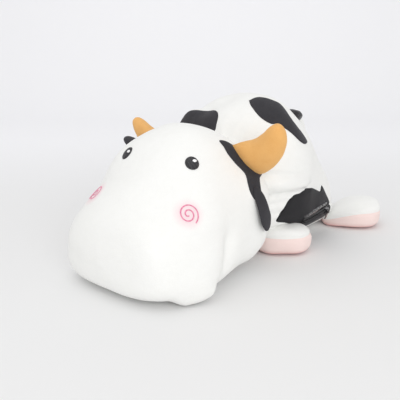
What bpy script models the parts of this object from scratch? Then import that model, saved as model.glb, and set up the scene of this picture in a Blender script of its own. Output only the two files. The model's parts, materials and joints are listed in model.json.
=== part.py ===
"""Plush cow lying on its belly: sewn covers over fibre fillings, with flaps that swing at their seams.

Metres, +Z up, the cow faces -Y and its left side is +X. The origin is the middle of its base.
"""
import math

import bmesh
import bpy
from mathutils import Matrix, Vector
from mathutils.bvhtree import BVHTree

# Cloth, clearances and how deep the toy's weight flattens what it rests on
CLOTH = 0.0016
SEAM_GAP = 0.0003
PATCH_CLOTH = 0.0009
PATCH_GAP = 0.0006
PRESS_FLAT = 0.0005
FAR = 0.3

# Head, from the muzzle's tip to the neck seam
HEAD_LENGTH = 0.235
HEAD_WIDTH = 0.224
HEAD_HEIGHT = 0.216

# Body, from the rump to the neck seam
BODY_LENGTH = 0.268
BODY_WIDTH = 0.226
BODY_HEIGHT = 0.243

# Neck seam, shared by the head and the body
NECK_WIDTH = 0.160
NECK_LOW = 0.030
NECK_HIGH = 0.182

# Legs: flat oval paws that lie splayed under the body's edge
LEG_LENGTH = 0.104
LEG_WIDTH = 0.094
LEG_HEIGHT = 0.049
FRONT_ROOT_SIDE_SHARE = 0.32
FRONT_ROOT_ALONG_SHARE = 0.54
FRONT_LEG_TURN = -50
REAR_ROOT_SIDE_SHARE = 0.54
REAR_ROOT_ALONG_SHARE = 0.10
REAR_LEG_TURN = 40

# Horns: how far their bases sink into the head's outline before they are cut to it
HORN_LENGTH = 0.103
HORN_WIDTH = 0.053
HORN_THICKNESS = 0.034
HORN_SUNK = 0.016
HORN_SIDE_SHARE = 0.62
HORN_RISE_SHARE = 0.751
HORN_ALONG_SHARE = 0.853
HORN_START = 10.6
HORN_TURN = 75.5
# Lean, sweep and twist of each horn: soft horns don't stand alike
HORN_TURNS = {"left": (3.4, 13.4, 29), "right": (23, 25, 10)}

# Ears
EAR_LENGTH = 0.070
EAR_WIDTH = 0.036
EAR_THICKNESS = 0.009
EAR_SUNK = 0.003
EAR_RISE_SHARE = 0.605
EAR_ALONG_SHARE = 0.815
EAR_YAW = 8
EAR_SLANT = 10
EAR_START = -58
EAR_TURN = -30

# Tail
TAIL_THICKNESS = 0.010
TAIL_LENGTH = 0.087
TAIL_RISE_SHARE = 0.47
TAIL_START = 37
TAIL_TURN = 112
TAIL_HINGE_SHARE = 0.07
TUFT_LENGTH = 0.046
TUFT_TURN = 34
TUFT_WIDTH = 0.032
TUFT_THICKNESS = 0.019

# Face
EYE_WIDTH = 0.0184
EYE_HEIGHT = 0.0200
# Shares of the head's half width and height: the soft face lies turned a little to its left
EYE_SHARES = {"left": (0.536, 0.791), "right": (0.385, 0.812)}
HIGHLIGHT_WIDTH = 0.0056
HIGHLIGHT_SIDE = 0.0036
HIGHLIGHT_RISE = 0.0022
CHEEK_SHARES = {"left": (0.766, 0.536), "right": (0.530, 0.572)}
CHEEK_RADIUS = 0.0146
CHEEK_CORE_SHARE = 0.14
CHEEK_TURNS = 1.95
CHEEK_START = -55
CHEEK_THREAD = 0.0022

# Black patch of cloth round the root of each horn and ear
ROOT_PATCH_HEIGHT = 0.084
ROOT_PATCH_WIDTH = 0.052
ROOT_PATCH_FORWARD = 0.0110
ROOT_PATCH_DROP = 0.005
ROOT_PATCH_TILT = 12

# Zip along the left flank: its tape, coil and slider turn about one upright axis
ZIP_TAPE_WIDTH = 0.0095
ZIP_TAPE_THICKNESS = 0.0007
ZIP_COIL_THICKNESS = 0.0032
SLIDER_LENGTH = 0.0110
SLIDER_WIDTH = 0.0085
SLIDER_ROOF = 0.0012
BRIDGE_LENGTH = 0.0024
BRIDGE_THICKNESS = 0.0010
BRIDGE_ROOM = 0.0028
BRIDGE_SPAN = 0.0036
BRIDGE_ROOT = 0.0003
PULL_LENGTH = 0.0150
PULL_WIDTH = 0.0064
PULL_THICKNESS = 0.0012
PULL_RIM = 0.0014
PULL_WINDOW = 0.0037


# Counts of rings and of points round a ring
HEAD_RINGS, HEAD_AROUND = 18, 26
BODY_RINGS, BODY_AROUND = 16, 26
LEG_RINGS, LEG_AROUND = 8, 14
HORN_RINGS, HORN_AROUND = 8, 12
EAR_RINGS, EAR_AROUND = 9, 10
CORD_RINGS, CORD_AROUND = 10, 8
TUFT_RINGS, TUFT_AROUND = 8, 10
EYE_RINGS, EYE_CORNERS = 2, 16
HIGHLIGHT_RINGS, HIGHLIGHT_CORNERS = 1, 10
SPOT_RINGS, SPOT_CORNERS = 4, 28
THREAD_STEPS, THREAD_SIDES = 40, 5
ZIP_STEPS, COIL_SIDES, SLIDER_STEPS = 16, 8, 2
SKIN_COUNT = 4
CUTTER_COUNT = 2
LEG_PHASE_SHARE = 0.5
SHARP_ANGLE = 50

# Rows of shares: along the length, half width, low side, high side, how much the low side is wider
HEAD_SHARES = [
    (0.000, 0.00, 0.22, 0.22, 0.00),
    (0.013, 0.42, 0.10, 0.35, 0.04),
    (0.055, 0.73, 0.05, 0.49, 0.09),
    (0.150, 0.87, 0.02, 0.605, 0.17),
    (0.300, 0.94, 0.00, 0.750, 0.27),
    (0.450, 0.95, 0.00, 0.895, 0.26),
    (0.595, 0.92, 0.010, 0.985, 0.23),
    (0.720, 0.93, 0.022, 0.990, 0.16),
    (0.850, 0.98, 0.030, 0.940, 0.07),
    (0.948, 0.95, 0.090, 0.855, 0.02),
]
BODY_SHARES = [
    (0.000, 0.00, 0.20, 0.20, 0.04),
    (0.009, 0.28, 0.09, 0.31, 0.08),
    (0.041, 0.52, 0.01, 0.42, 0.14),
    (0.105, 0.67, 0.00, 0.54, 0.20),
    (0.200, 0.73, 0.00, 0.67, 0.24),
    (0.330, 0.79, 0.00, 0.82, 0.20),
    (0.480, 0.87, 0.00, 0.935, 0.10),
    (0.630, 0.97, 0.03, 1.000, 0.00),
    (0.780, 0.97, 0.08, 0.985, -0.08),
    (0.925, 0.87, 0.11, 0.880, -0.08),
]
LEG_SHARES = [
    (0.00, 0.00, 0.220, 0.220, 0.0),
    (0.02, 0.30, 0.060, 0.320, 0.0),
    (0.10, 0.56, 0.000, 0.450, 0.0),
    (0.28, 0.82, 0.000, 0.700, 0.0),
    (0.52, 1.00, 0.000, 0.940, 0.0),
    (0.76, 0.96, 0.000, 1.000, 0.0),
    (0.92, 0.68, 0.070, 0.945, 0.0),
    (0.985, 0.34, 0.270, 0.840, 0.0),
    (1.00, 0.00, 0.620, 0.620, 0.0),
]
# Rows of shares along a curved form: along, half width, half thickness
HORN_SHARES = [(0.00, 0.89, 0.50), (0.25, 0.95, 0.84), (0.50, 0.76, 0.94), (0.72, 0.64, 0.78),
               (0.88, 0.46, 0.62), (0.97, 0.24, 0.36), (1.00, 0.00, 0.00)]
EAR_SHARES = [(0.00, 0.00, 0.00), (0.015, 0.34, 0.50), (0.10, 0.60, 0.90), (0.32, 0.92, 1.00),
              (0.58, 1.00, 0.92), (0.80, 0.76, 0.74), (0.94, 0.36, 0.46), (1.00, 0.00, 0.00)]
CORD_SHARES = [(0.00, 0.00, 0.00), (0.03, 0.62, 0.62), (0.10, 1.00, 1.00), (0.35, 0.97, 0.97),
               (0.62, 0.93, 0.93), (0.85, 0.89, 0.89), (0.97, 0.80, 0.80), (1.00, 0.00, 0.00)]
TUFT_SHARES = [(0.00, 0.00, 0.00), (0.03, 0.40, 0.45), (0.20, 0.80, 0.85), (0.45, 1.00, 1.00),
               (0.70, 0.86, 0.85), (0.90, 0.48, 0.50), (1.00, 0.00, 0.00)]
UPPER_SECTION_SHARE = 0.94
LOWER_SECTION_SHARE = 0.55

# Where the zip lies along the body, and above the floor as a share of the paws' height
ZIP_RISE_SHARE = 0.949
ZIP_FRONT_SHARE = 0.645
ZIP_MIDDLE_SHARE = 0.46
ZIP_REAR_SHARE = 0.29
SLIDER_SHARE = 0.335

# Corners of the body's black patches: a share of the way through the body's rows from the rump, and
# the degrees round the section there, from the left flank over the back
SPOT_SHARES = {
    "front": [(0.965, 94), (0.927, 94), (0.895, 96), (0.875, 101), (0.859, 109), (0.849, 117), (0.835, 127),
              (0.836, 138), (0.855, 142), (0.892, 137), (0.929, 126), (0.955, 115), (0.976, 104)],
    "top": [(0.813, 79), (0.776, 77), (0.751, 72), (0.724, 64), (0.717, 57), (0.727, 48), (0.728, 41),
            (0.716, 34), (0.690, 23), (0.733, 22), (0.769, 27), (0.800, 38), (0.818, 46), (0.846, 50),
            (0.854, 61), (0.836, 73)],
    "flank": [(0.881, -24), (0.864, -12), (0.832, -6), (0.783, -5), (0.713, -3), (0.664, -3), (0.627, -4),
              (0.603, -2), (0.568, -5), (0.524, -12), (0.543, -16), (0.615, -19), (0.690, -23), (0.792, -28)],
    "far_flank": [(0.516, 180), (0.535, 170), (0.594, 167), (0.666, 174), (0.720, 173), (0.774, 180),
                  (0.787, 185), (0.726, 190), (0.654, 185), (0.582, 186)],
    "rump": [(0.424, 103), (0.472, 101), (0.517, 113), (0.547, 131), (0.535, 147), (0.480, 147),
             (0.438, 132), (0.407, 118)],
}

TAU = 2 * math.pi
LEG_SEAM = TAU / LEG_AROUND * LEG_PHASE_SHARE
TINY_SHARE = 1e-3


def clear_scene():
    for found in list(bpy.data.objects):
        bpy.data.objects.remove(found, do_unlink=True)


def finish(name, colour, roughness, metallic=0.0):
    """A plain material in the piece's colour."""
    made = bpy.data.materials.new(name)
    made.use_nodes = True
    shader = made.node_tree.nodes["Principled BSDF"]
    shader.inputs["Base Color"].default_value = (*colour, 1.0)
    shader.inputs["Roughness"].default_value = roughness
    shader.inputs["Metallic"].default_value = metallic
    return made


def spline(rows, t):
    """The rows' values at t from 0 to 1, on a Catmull-Rom curve through them."""
    last = len(rows) - 1
    place = min(max(t, 0), 1) * last
    k = min(int(place), last - 1)
    f = place - k
    before, start, end, after = (rows[min(max(k + step, 0), last)] for step in (-1, 0, 1, 2))
    return [b + f / 2 * (c - a + f * (2 * a - 5 * b + 4 * c - d + f * (3 * (b - c) + d - a)))
            for a, b, c, d in zip(before, start, end, after)]


def section(angle):
    """Side and rise of a section round which a form is a little fuller than an ellipse, fullest below."""
    side, rise = math.cos(angle), math.sin(angle)
    share = UPPER_SECTION_SHARE if rise >= 0 else LOWER_SECTION_SHARE
    return math.copysign(abs(side) ** share, side), math.copysign(abs(rise) ** share, rise)


def lying_form(rows, length, width, height, start=0.0, way=1):
    """Point on a form that lies along Y and is cut flat where it rests."""
    def point(t, angle):
        along, wide, low, high, lower = spline(rows, t)
        side, up = section(angle)
        bottom, top = height * low - PRESS_FLAT, height * high
        x = side * wide * width / 2 * (1 - lower * up)
        z = (top + bottom) / 2 + (top - bottom) / 2 * up
        return Vector((x, start + way * along * length, max(z, 0)))
    return point


def curved_form(rows, length, width, thickness, first, turn):
    """Point on a form whose middle line is an arc in the XZ plane, from the first angle in degrees."""
    bend = math.radians(turn)
    radius = length / bend
    begin = math.radians(first)

    def point(t, angle):
        along, wide, thick = spline(rows, t)
        heading = begin + bend * along
        middle = Vector((math.sin(heading) - math.sin(begin), 0, math.cos(begin) - math.cos(heading)))
        across = Vector((-math.sin(heading), 0, math.cos(heading)))
        return (middle * radius + across * (wide * width / 2 * math.sin(angle))
                + Vector((0, thick * thickness / 2 * math.cos(angle), 0)))
    return point


class Form:
    """Rings of points from a first pole or open ring to a last pole or open ring, with normals."""

    def __init__(self, point, rings, around, poles=(True, True), place=None, phase=0.0):
        place = place or Matrix()
        self.points, self.faces, self.angles = [], [], []
        loops = []
        for i in range(rings + 1):
            if (i == 0 and poles[0]) or (i == rings and poles[1]):
                loops.append([self.add(place @ point(i / rings, 0), None)])
            else:
                turns = [TAU * (j + phase) / around for j in range(around)]
                loops.append([self.add(place @ point(i / rings, turn), turn) for turn in turns])
        for lower, upper in zip(loops, loops[1:]):
            for j in range(around):
                a, b = lower[j % len(lower)], lower[(j + 1) % len(lower)]
                c, d = upper[(j + 1) % len(upper)], upper[j % len(upper)]
                self.faces += [face for face in ((a, b, c), (a, c, d)) if len(set(face)) == 3]
        self.ends = [loop for loop in (loops[0], loops[-1]) if len(loop) > 1]
        self.normals = self.find_normals()

    def add(self, spot, turn):
        self.points.append(spot)
        self.angles.append(turn)
        return len(self.points) - 1

    def find_normals(self):
        centre = sum(self.points, Vector()) / len(self.points)
        sums = [Vector() for _ in self.points]
        for a, b, c in self.faces:
            square = (self.points[b] - self.points[a]).cross(self.points[c] - self.points[a])
            for k in (a, b, c):
                sums[k] += square
        out = sum(n.dot(p - centre) for n, p in zip(sums, self.points))
        if out < 0:
            self.faces = [(a, c, b) for a, b, c in self.faces]
            sums = [-n for n in sums]
        return [n.normalized() for n in sums]

    def grown(self, distance):
        return [p + n * distance for p, n in zip(self.points, self.normals)]


def put_mesh(name, points, faces, material):
    """A new object with one closed mesh, its faces turned outwards."""
    mesh = bpy.data.meshes.new(name)
    mesh.from_pydata(points, [], faces)
    kept = bmesh.new()
    kept.from_mesh(mesh)
    bmesh.ops.recalc_face_normals(kept, faces=kept.faces)
    kept.to_mesh(mesh)
    kept.free()
    mesh.shade_smooth()
    mesh.set_sharp_from_angle(angle=math.radians(SHARP_ANGLE))
    made = bpy.data.objects.new(name, mesh)
    bpy.context.scene.collection.objects.link(made)
    if material:
        mesh.materials.append(material)
    return made


def solid(name, form, inset, material):
    """The space inside a form, as far in as its cover and a gap ask, its open ends closed flat."""
    points = form.grown(-inset)
    faces = list(form.faces)
    for loop in form.ends:
        points.append(sum((points[k] for k in loop), Vector()) / len(loop))
        tip = len(points) - 1
        faces += [(loop[j], loop[(j + 1) % len(loop)], tip) for j in range(len(loop))]
    return put_mesh(name, points, faces, material)


def shell(name, form, faces, material, seam_shift=0.0):
    """A cloth cover over the given faces of a form, open wherever they end."""
    used = sorted({k for face in faces for k in face})
    inner = form.grown(-CLOTH)
    count = {}
    for a, b, c in faces:
        for edge in ((a, b), (b, c), (c, a)):
            count[tuple(sorted(edge))] = count.get(tuple(sorted(edge)), 0) + 1
    edges = [edge for a, b, c in faces for edge in ((a, b), (b, c), (c, a)) if count[tuple(sorted(edge))] == 1]
    on_edge = {k for edge in edges for k in edge}
    place = {k: i for i, k in enumerate(used)}
    shift = Vector((0, 0, seam_shift))
    outside = [form.points[k] + (shift if k in on_edge else Vector()) for k in used]
    inside = [inner[k] + (shift if k in on_edge else Vector()) for k in used]
    n = len(used)
    made = [tuple(place[k] for k in face) for face in faces]
    made += [tuple(place[k] + n for k in reversed(face)) for face in faces]
    made += [(place[b], place[a], place[a] + n, place[b] + n) for a, b in edges]
    return put_mesh(name, outside + inside, made, material)


def cutter(name, form, distance):
    """A form grown by a clearance, which only cuts its neighbours."""
    return hide(solid(name, form, -distance, None))


def hide(guide):
    """Keeps a piece that only cuts or adds to others out of the model."""
    guide.hide_render = True
    guide.display_type = "WIRE"
    return guide


def cut(piece, *tools, way="DIFFERENCE"):
    for tool in tools:
        step = piece.modifiers.new(way.lower() + " with " + tool.name, "BOOLEAN")
        step.operation = way
        step.solver = "EXACT"
        step.object = tool
    return piece


def pivot(name, spot, axis, *pieces):
    """An empty on a joint's axis, which carries the pieces that move there."""
    empty = bpy.data.objects.new(name + "_pivot", None)
    empty.location = spot
    bpy.context.scene.collection.objects.link(empty)
    for piece in pieces:
        piece.parent = empty
        piece.matrix_parent_inverse = Matrix.Translation(-Vector(spot))
    print("joint", name, [round(v, 5) for v in spot], [round(v, 4) for v in axis])


def skin_of(point, rings, around):
    """A fine copy of a form's surface, on which patches and threads are laid."""
    fine = Form(point, rings * SKIN_COUNT, around * SKIN_COUNT, (True, False))
    return BVHTree.FromPolygons(fine.points, fine.faces)


def seat(skin, start, heading):
    """Where a straight line first meets the skin, and the skin's outward direction there."""
    spot, normal, _, _ = skin.ray_cast(Vector(start), Vector(heading))
    return spot, normal if normal.dot(Vector(heading)) < 0 else -normal


def pattern_axes(facing, tilt=0.0):
    upward = (Vector((0, 0, 1)) - facing * facing.z).normalized()
    across = upward.cross(facing)
    turn = Matrix.Rotation(math.radians(tilt), 3, facing)
    return turn @ across, turn @ upward


def flat_pattern(skin, centre, facing, tilt=0.0):
    """Lays a flat pattern on the skin: the point at a height over it, straight behind a place p, q."""
    across, upward = pattern_axes(facing, tilt)

    def lay(p, q, height):
        begin = centre + across * p + upward * q + facing * FAR
        spot, normal, _, _ = skin.ray_cast(begin, -facing)
        if normal.dot(facing) < 0:
            normal = -normal
        return spot + normal * height
    return lay


def round_pattern(point, middle_rise):
    """Lays a pattern of shares along a form's rows and degrees round its sections."""
    def lay(t, degrees, height):
        turn = math.radians(degrees)
        spot = point(t, turn)
        along = point(t + TINY_SHARE, turn) - point(t - TINY_SHARE, turn)
        around = point(t, turn + TINY_SHARE) - point(t, turn - TINY_SHARE)
        normal = along.cross(around).normalized()
        if normal.dot(spot - Vector((0, spot.y, middle_rise))) < 0:
            normal = -normal
        return spot + normal * height
    return lay


def closed_curve(corners, count):
    """Points along a smooth closed curve through the corners."""
    n = len(corners)
    made = []
    for i in range(count):
        place = i * n / count
        k, f = int(place), place - int(place)
        rows = [corners[(k + step) % n] for step in (-1, 0, 1, 2)]
        made.append(tuple(b + f / 2 * (c - a + f * (2 * a - 5 * b + 4 * c - d + f * (3 * (b - c) + d - a)))
                          for a, b, c, d in zip(*rows)))
    return made


def oval(width, height, corners, middle=(0, 0)):
    turns = [TAU * k / corners for k in range(corners)]
    return [(middle[0] + width / 2 * math.cos(turn), middle[1] + height / 2 * math.sin(turn)) for turn in turns]


def patch(name, lay, outline, low, high, rings, material):
    """A piece of cloth between two heights over the skin, inside an outline of pattern points."""
    middle = (sum(p for p, _ in outline) / len(outline), sum(q for _, q in outline) / len(outline))
    sides = len(outline)
    layers = []
    for height in (high, low):
        grid = [[lay(*middle, height)]]
        for r in range(1, rings + 1):
            share = r / rings
            grid.append([lay(middle[0] + (p - middle[0]) * share, middle[1] + (q - middle[1]) * share, height)
                         for p, q in outline])
        layers.append([spot for ring in grid for spot in ring])
    size = 1 + rings * sides
    faces = []

    def index(ring, j):
        return 0 if ring == 0 else 1 + (ring - 1) * sides + j % sides

    for r in range(rings):
        for j in range(sides):
            a, b, c, d = index(r, j), index(r, j + 1), index(r + 1, j + 1), index(r + 1, j)
            for face in ((a, b, c), (a, c, d)):
                if len(set(face)) == 3:
                    faces += [face, tuple(k + size for k in reversed(face))]
    for j in range(sides):
        a, b = index(rings, j), index(rings, j + 1)
        faces.append((b, a, a + size, b + size))
    return put_mesh(name, layers[0] + layers[1], faces, material)


def thread(name, path, normals, radius, sides, material):
    """A round thread along a path."""
    points, faces = [], []
    last = len(path) - 1
    for i, (spot, normal) in enumerate(zip(path, normals)):
        along = (path[min(i + 1, last)] - path[max(i - 1, 0)]).normalized()
        beside = along.cross(normal).normalized()
        over = beside.cross(along)
        for j in range(sides):
            turn = TAU * j / sides
            points.append(spot + (beside * math.cos(turn) + over * math.sin(turn)) * radius)
    for i in range(last):
        for j in range(sides):
            a, b = i * sides + j, i * sides + (j + 1) % sides
            faces.append((a, b, b + sides, a + sides))
    faces.append(tuple(range(sides)))
    faces.append(tuple(last * sides + j for j in range(sides)))
    return put_mesh(name, points, faces, material)


WHITE = finish("white_plush", (0.93, 0.93, 0.92), 0.85)
BLACK = finish("black_plush", (0.03, 0.03, 0.035), 0.6)
PINK = finish("pink_plush", (0.90, 0.68, 0.66), 0.8)
TAN = finish("tan_plush", (0.82, 0.50, 0.18), 0.8)
FIBRE = finish("polyester_fibre", (0.95, 0.95, 0.95), 0.9)
THREAD = finish("pink_thread", (0.80, 0.24, 0.38), 0.5)
EYE_BLACK = finish("eye_cloth", (0.03, 0.03, 0.03), 0.4)
EYE_WHITE = finish("highlight_cloth", (0.95, 0.95, 0.95), 0.4)
ZIP_BLACK = finish("black_nylon", (0.02, 0.02, 0.02), 0.25)

clear_scene()


def leg_form(side, side_share, along_share, turn, rump_y):
    """A paw's form, and the direction that it points in."""
    yaw = math.radians(turn if side > 0 else 180 - turn)
    root = Vector((side * side_share * BODY_WIDTH / 2, rump_y - along_share * BODY_LENGTH, 0))
    place = Matrix.Translation(root) @ Matrix.Rotation(yaw - math.pi / 2, 4, "Z")
    form = Form(lying_form(LEG_SHARES, LEG_LENGTH, LEG_WIDTH, LEG_HEIGHT), LEG_RINGS, LEG_AROUND,
                (True, True), place, LEG_PHASE_SHARE)
    return form, root, Vector((math.cos(yaw), math.sin(yaw), 0))


# The rear paws reach behind the rump, and the origin is the middle of the whole length
rear_form = leg_form(1, REAR_ROOT_SIDE_SHARE, REAR_ROOT_ALONG_SHARE, REAR_LEG_TURN, 0)[0]
rear_reach = max(spot.y for spot in rear_form.points)
MUZZLE_Y = -(HEAD_LENGTH + SEAM_GAP + BODY_LENGTH + rear_reach) / 2
RUMP_Y = MUZZLE_Y + HEAD_LENGTH + SEAM_GAP + BODY_LENGTH

neck_head = (1.0, NECK_WIDTH / HEAD_WIDTH, NECK_LOW / HEAD_HEIGHT, NECK_HIGH / HEAD_HEIGHT, 0.0)
neck_body = (1.0, NECK_WIDTH / BODY_WIDTH, NECK_LOW / BODY_HEIGHT, NECK_HIGH / BODY_HEIGHT, 0.0)
head_point = lying_form(HEAD_SHARES + [neck_head], HEAD_LENGTH, HEAD_WIDTH, HEAD_HEIGHT, MUZZLE_Y)
body_point = lying_form(BODY_SHARES + [neck_body], BODY_LENGTH, BODY_WIDTH, BODY_HEIGHT, RUMP_Y, -1)
head_form = Form(head_point, HEAD_RINGS, HEAD_AROUND, (True, False))
body_form = Form(body_point, BODY_RINGS, BODY_AROUND, (True, False))
head_skin = skin_of(head_point, HEAD_RINGS, HEAD_AROUND)
body_skin = skin_of(body_point, BODY_RINGS, BODY_AROUND)

shell("head_cover", head_form, head_form.faces, WHITE)
solid("head_filling", head_form, CLOTH + SEAM_GAP, FIBRE)
shell("body_cover", body_form, body_form.faces, WHITE)
solid("body_filling", body_form, CLOTH + SEAM_GAP, FIBRE)

patch_top = PATCH_GAP + PATCH_CLOTH
fine_head = Form(head_point, HEAD_RINGS * CUTTER_COUNT, HEAD_AROUND * CUTTER_COUNT, (True, False))
head_cutter = cutter("head_and_patch_room", fine_head, patch_top + SEAM_GAP)
body_cutter = cutter("body_room", body_form, SEAM_GAP)


def body_place(side_share, along_share, rise=0.0):
    return Vector((side_share * BODY_WIDTH / 2, RUMP_Y - along_share * BODY_LENGTH, rise))


def head_place(side_share, along_share, rise_share):
    return Vector((side_share * HEAD_WIDTH / 2, MUZZLE_Y + along_share * HEAD_LENGTH, rise_share * HEAD_HEIGHT))


def leg(name, side, side_share, along_share, turn):
    """A paw's white top panel, pink sole panel and filling, cut by the body above it."""
    form, root, along = leg_form(side, side_share, along_share, turn, RUMP_Y)

    def is_top(face):
        turns = [form.angles[k] for k in face if form.angles[k] is not None]
        return LEG_SEAM - TINY_SHARE < min(turns) and max(turns) < math.pi - LEG_SEAM + TINY_SHARE

    top = shell(name + "_top", form, [face for face in form.faces if is_top(face)], WHITE, SEAM_GAP / 2)
    sole = shell(name + "_sole", form, [face for face in form.faces if not is_top(face)], PINK, -SEAM_GAP / 2)
    filling = solid(name + "_filling", form, CLOTH + SEAM_GAP, FIBRE)
    for piece in (top, sole, filling):
        cut(piece, body_cutter)
    pivot(name, root, Vector((0, 0, 1)).cross(along), top, sole, filling)


SIDES = {"left": 1, "right": -1}
for word, side in SIDES.items():
    leg("front_leg_" + word, side, FRONT_ROOT_SIDE_SHARE, FRONT_ROOT_ALONG_SHARE, FRONT_LEG_TURN)
    leg("rear_leg_" + word, side, REAR_ROOT_SIDE_SHARE, REAR_ROOT_ALONG_SHARE, REAR_LEG_TURN)


def horn_root(side):
    """Where a horn's middle line leaves the head, and its direction there."""
    start = math.radians(HORN_START)
    outward = Vector((side * math.cos(start), 0, math.sin(start)))
    inside = head_place(side * HORN_SIDE_SHARE, HORN_ALONG_SHARE, HORN_RISE_SHARE)
    spot, normal = seat(head_skin, inside + outward * FAR, -outward)
    return spot, normal, outward


def horn(word, side):
    """A horn that starts just inside the head's outline and curves out and up."""
    name = "horn_" + word
    lean, sweep, twist = HORN_TURNS[word]
    spot, _, outward = horn_root(side)
    place = (Matrix.Translation(spot - outward * HORN_SUNK)
             @ Matrix.Rotation(math.radians(side * lean), 4, "Y")
             @ Matrix.Rotation(math.radians(side * sweep), 4, "Z")
             @ Matrix.Diagonal((side, 1, 1, 1))
             @ Matrix.Rotation(math.radians(twist), 4, "X"))
    form = Form(curved_form(HORN_SHARES, HORN_LENGTH, HORN_WIDTH, HORN_THICKNESS, HORN_START, HORN_TURN),
                HORN_RINGS, HORN_AROUND, (False, True), place)
    cut(shell(name + "_cover", form, form.faces, TAN), head_cutter)
    cut(solid(name + "_filling", form, CLOTH + SEAM_GAP, FIBRE), head_cutter)


for word, side in SIDES.items():
    horn(word, side)


def root_patch(word, side):
    """The black cloth that a horn and an ear are sewn on."""
    spot, normal, _ = horn_root(side)
    outline = oval(ROOT_PATCH_WIDTH, ROOT_PATCH_HEIGHT, SPOT_CORNERS, (-side * ROOT_PATCH_FORWARD, -ROOT_PATCH_DROP))
    lay = flat_pattern(head_skin, spot, normal, side * ROOT_PATCH_TILT)
    patch("root_patch_" + word, lay, outline, PATCH_GAP, patch_top, SPOT_RINGS, BLACK)


def ear(name, side):
    """A flat, lightly filled ear that leaves the head under the horn and hangs down and back."""
    level = head_place(side, EAR_ALONG_SHARE, EAR_RISE_SHARE) + Vector((side * FAR, 0, 0))
    spot, normal = seat(head_skin, level, (-side, 0, 0))
    turned = (Matrix.Diagonal((side, 1, 1, 1))
              @ Matrix.Rotation(math.radians(EAR_YAW), 4, "Z")
              @ Matrix.Rotation(math.radians(EAR_SLANT), 4, "X"))
    root = spot - normal * EAR_SUNK
    form = Form(curved_form(EAR_SHARES, EAR_LENGTH, EAR_THICKNESS, EAR_WIDTH, EAR_START, EAR_TURN),
                EAR_RINGS, EAR_AROUND, (True, True), Matrix.Translation(root) @ turned)
    flap = cut(solid(name, form, 0, BLACK), head_cutter, body_cutter)
    outward = turned.to_3x3() @ Vector((1, 0, 0))
    pivot(name, root, outward.cross(Vector((0, 0, 1))).normalized(), flap)


def eye(word, side):
    out, rise = EYE_SHARES[word]
    level = Vector((side * out * HEAD_WIDTH / 2, MUZZLE_Y - FAR, rise * HEAD_HEIGHT))
    centre, facing = seat(head_skin, level, (0, 1, 0))
    lay = flat_pattern(head_skin, centre, facing)
    disc = oval(EYE_WIDTH, EYE_HEIGHT, EYE_CORNERS)
    patch("eye_" + word, lay, disc, PATCH_GAP, patch_top, EYE_RINGS, EYE_BLACK)
    dot = oval(HIGHLIGHT_WIDTH, HIGHLIGHT_WIDTH, HIGHLIGHT_CORNERS, (HIGHLIGHT_SIDE, HIGHLIGHT_RISE))
    patch("highlight_" + word, lay, dot, patch_top + SEAM_GAP, patch_top + SEAM_GAP + PATCH_CLOTH,
          HIGHLIGHT_RINGS, EYE_WHITE)


def cheek(word, side):
    """An embroidered line that winds in to the middle of the cheek."""
    out, rise = CHEEK_SHARES[word]
    level = Vector((side * out * HEAD_WIDTH / 2, MUZZLE_Y - FAR, rise * HEAD_HEIGHT))
    centre, facing = seat(head_skin, level, (0, 1, 0))
    lay = flat_pattern(head_skin, centre, facing)
    path = []
    for i in range(THREAD_STEPS + 1):
        share = i / THREAD_STEPS
        turn = math.radians(CHEEK_START) + TAU * CHEEK_TURNS * share
        reach = CHEEK_RADIUS * (1 - share * (1 - CHEEK_CORE_SHARE))
        path.append(lay(side * reach * math.cos(turn), reach * math.sin(turn), PATCH_GAP + CHEEK_THREAD / 2))
    thread("cheek_spiral_" + word, path, [facing] * len(path), CHEEK_THREAD / 2, THREAD_SIDES, THREAD)


for word, side in SIDES.items():
    root_patch(word, side)
    ear("ear_" + word, side)
    eye(word, side)
    cheek(word, side)


def tail():
    """A cord whose round root touches the rump, with a tuft at its end."""
    spot, normal = seat(body_skin, (0, RUMP_Y + FAR, TAIL_RISE_SHARE * BODY_HEIGHT), (0, -1, 0))
    place = Matrix.Translation(spot + normal * SEAM_GAP) @ Matrix.Rotation(math.pi / 2, 4, "Z")
    point = curved_form(CORD_SHARES, TAIL_LENGTH, TAIL_THICKNESS, TAIL_THICKNESS, TAIL_START, TAIL_TURN)
    cord = solid("tail_cord", Form(point, CORD_RINGS, CORD_AROUND, (True, True), place), 0, WHITE)
    heading = math.radians(TAIL_START + TAIL_TURN)
    step = Vector((math.cos(heading), 0, math.sin(heading))) * SEAM_GAP
    end = place @ (point(1, 0) + step)
    tuft_point = curved_form(TUFT_SHARES, TUFT_LENGTH, TUFT_THICKNESS, TUFT_WIDTH, TAIL_START + TAIL_TURN,
                             TUFT_TURN)
    tuft_place = Matrix.Translation(end) @ Matrix.Rotation(math.pi / 2, 4, "Z")
    tuft = solid("tail_tuft", Form(tuft_point, TUFT_RINGS, TUFT_AROUND, (True, True), tuft_place), 0, BLACK)
    middle = (point(TAIL_HINGE_SHARE, 0) + point(TAIL_HINGE_SHARE, math.pi)) / 2
    pivot("tail", place @ middle, Vector((-1, 0, 0)), cord, tuft)


tail()


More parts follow.
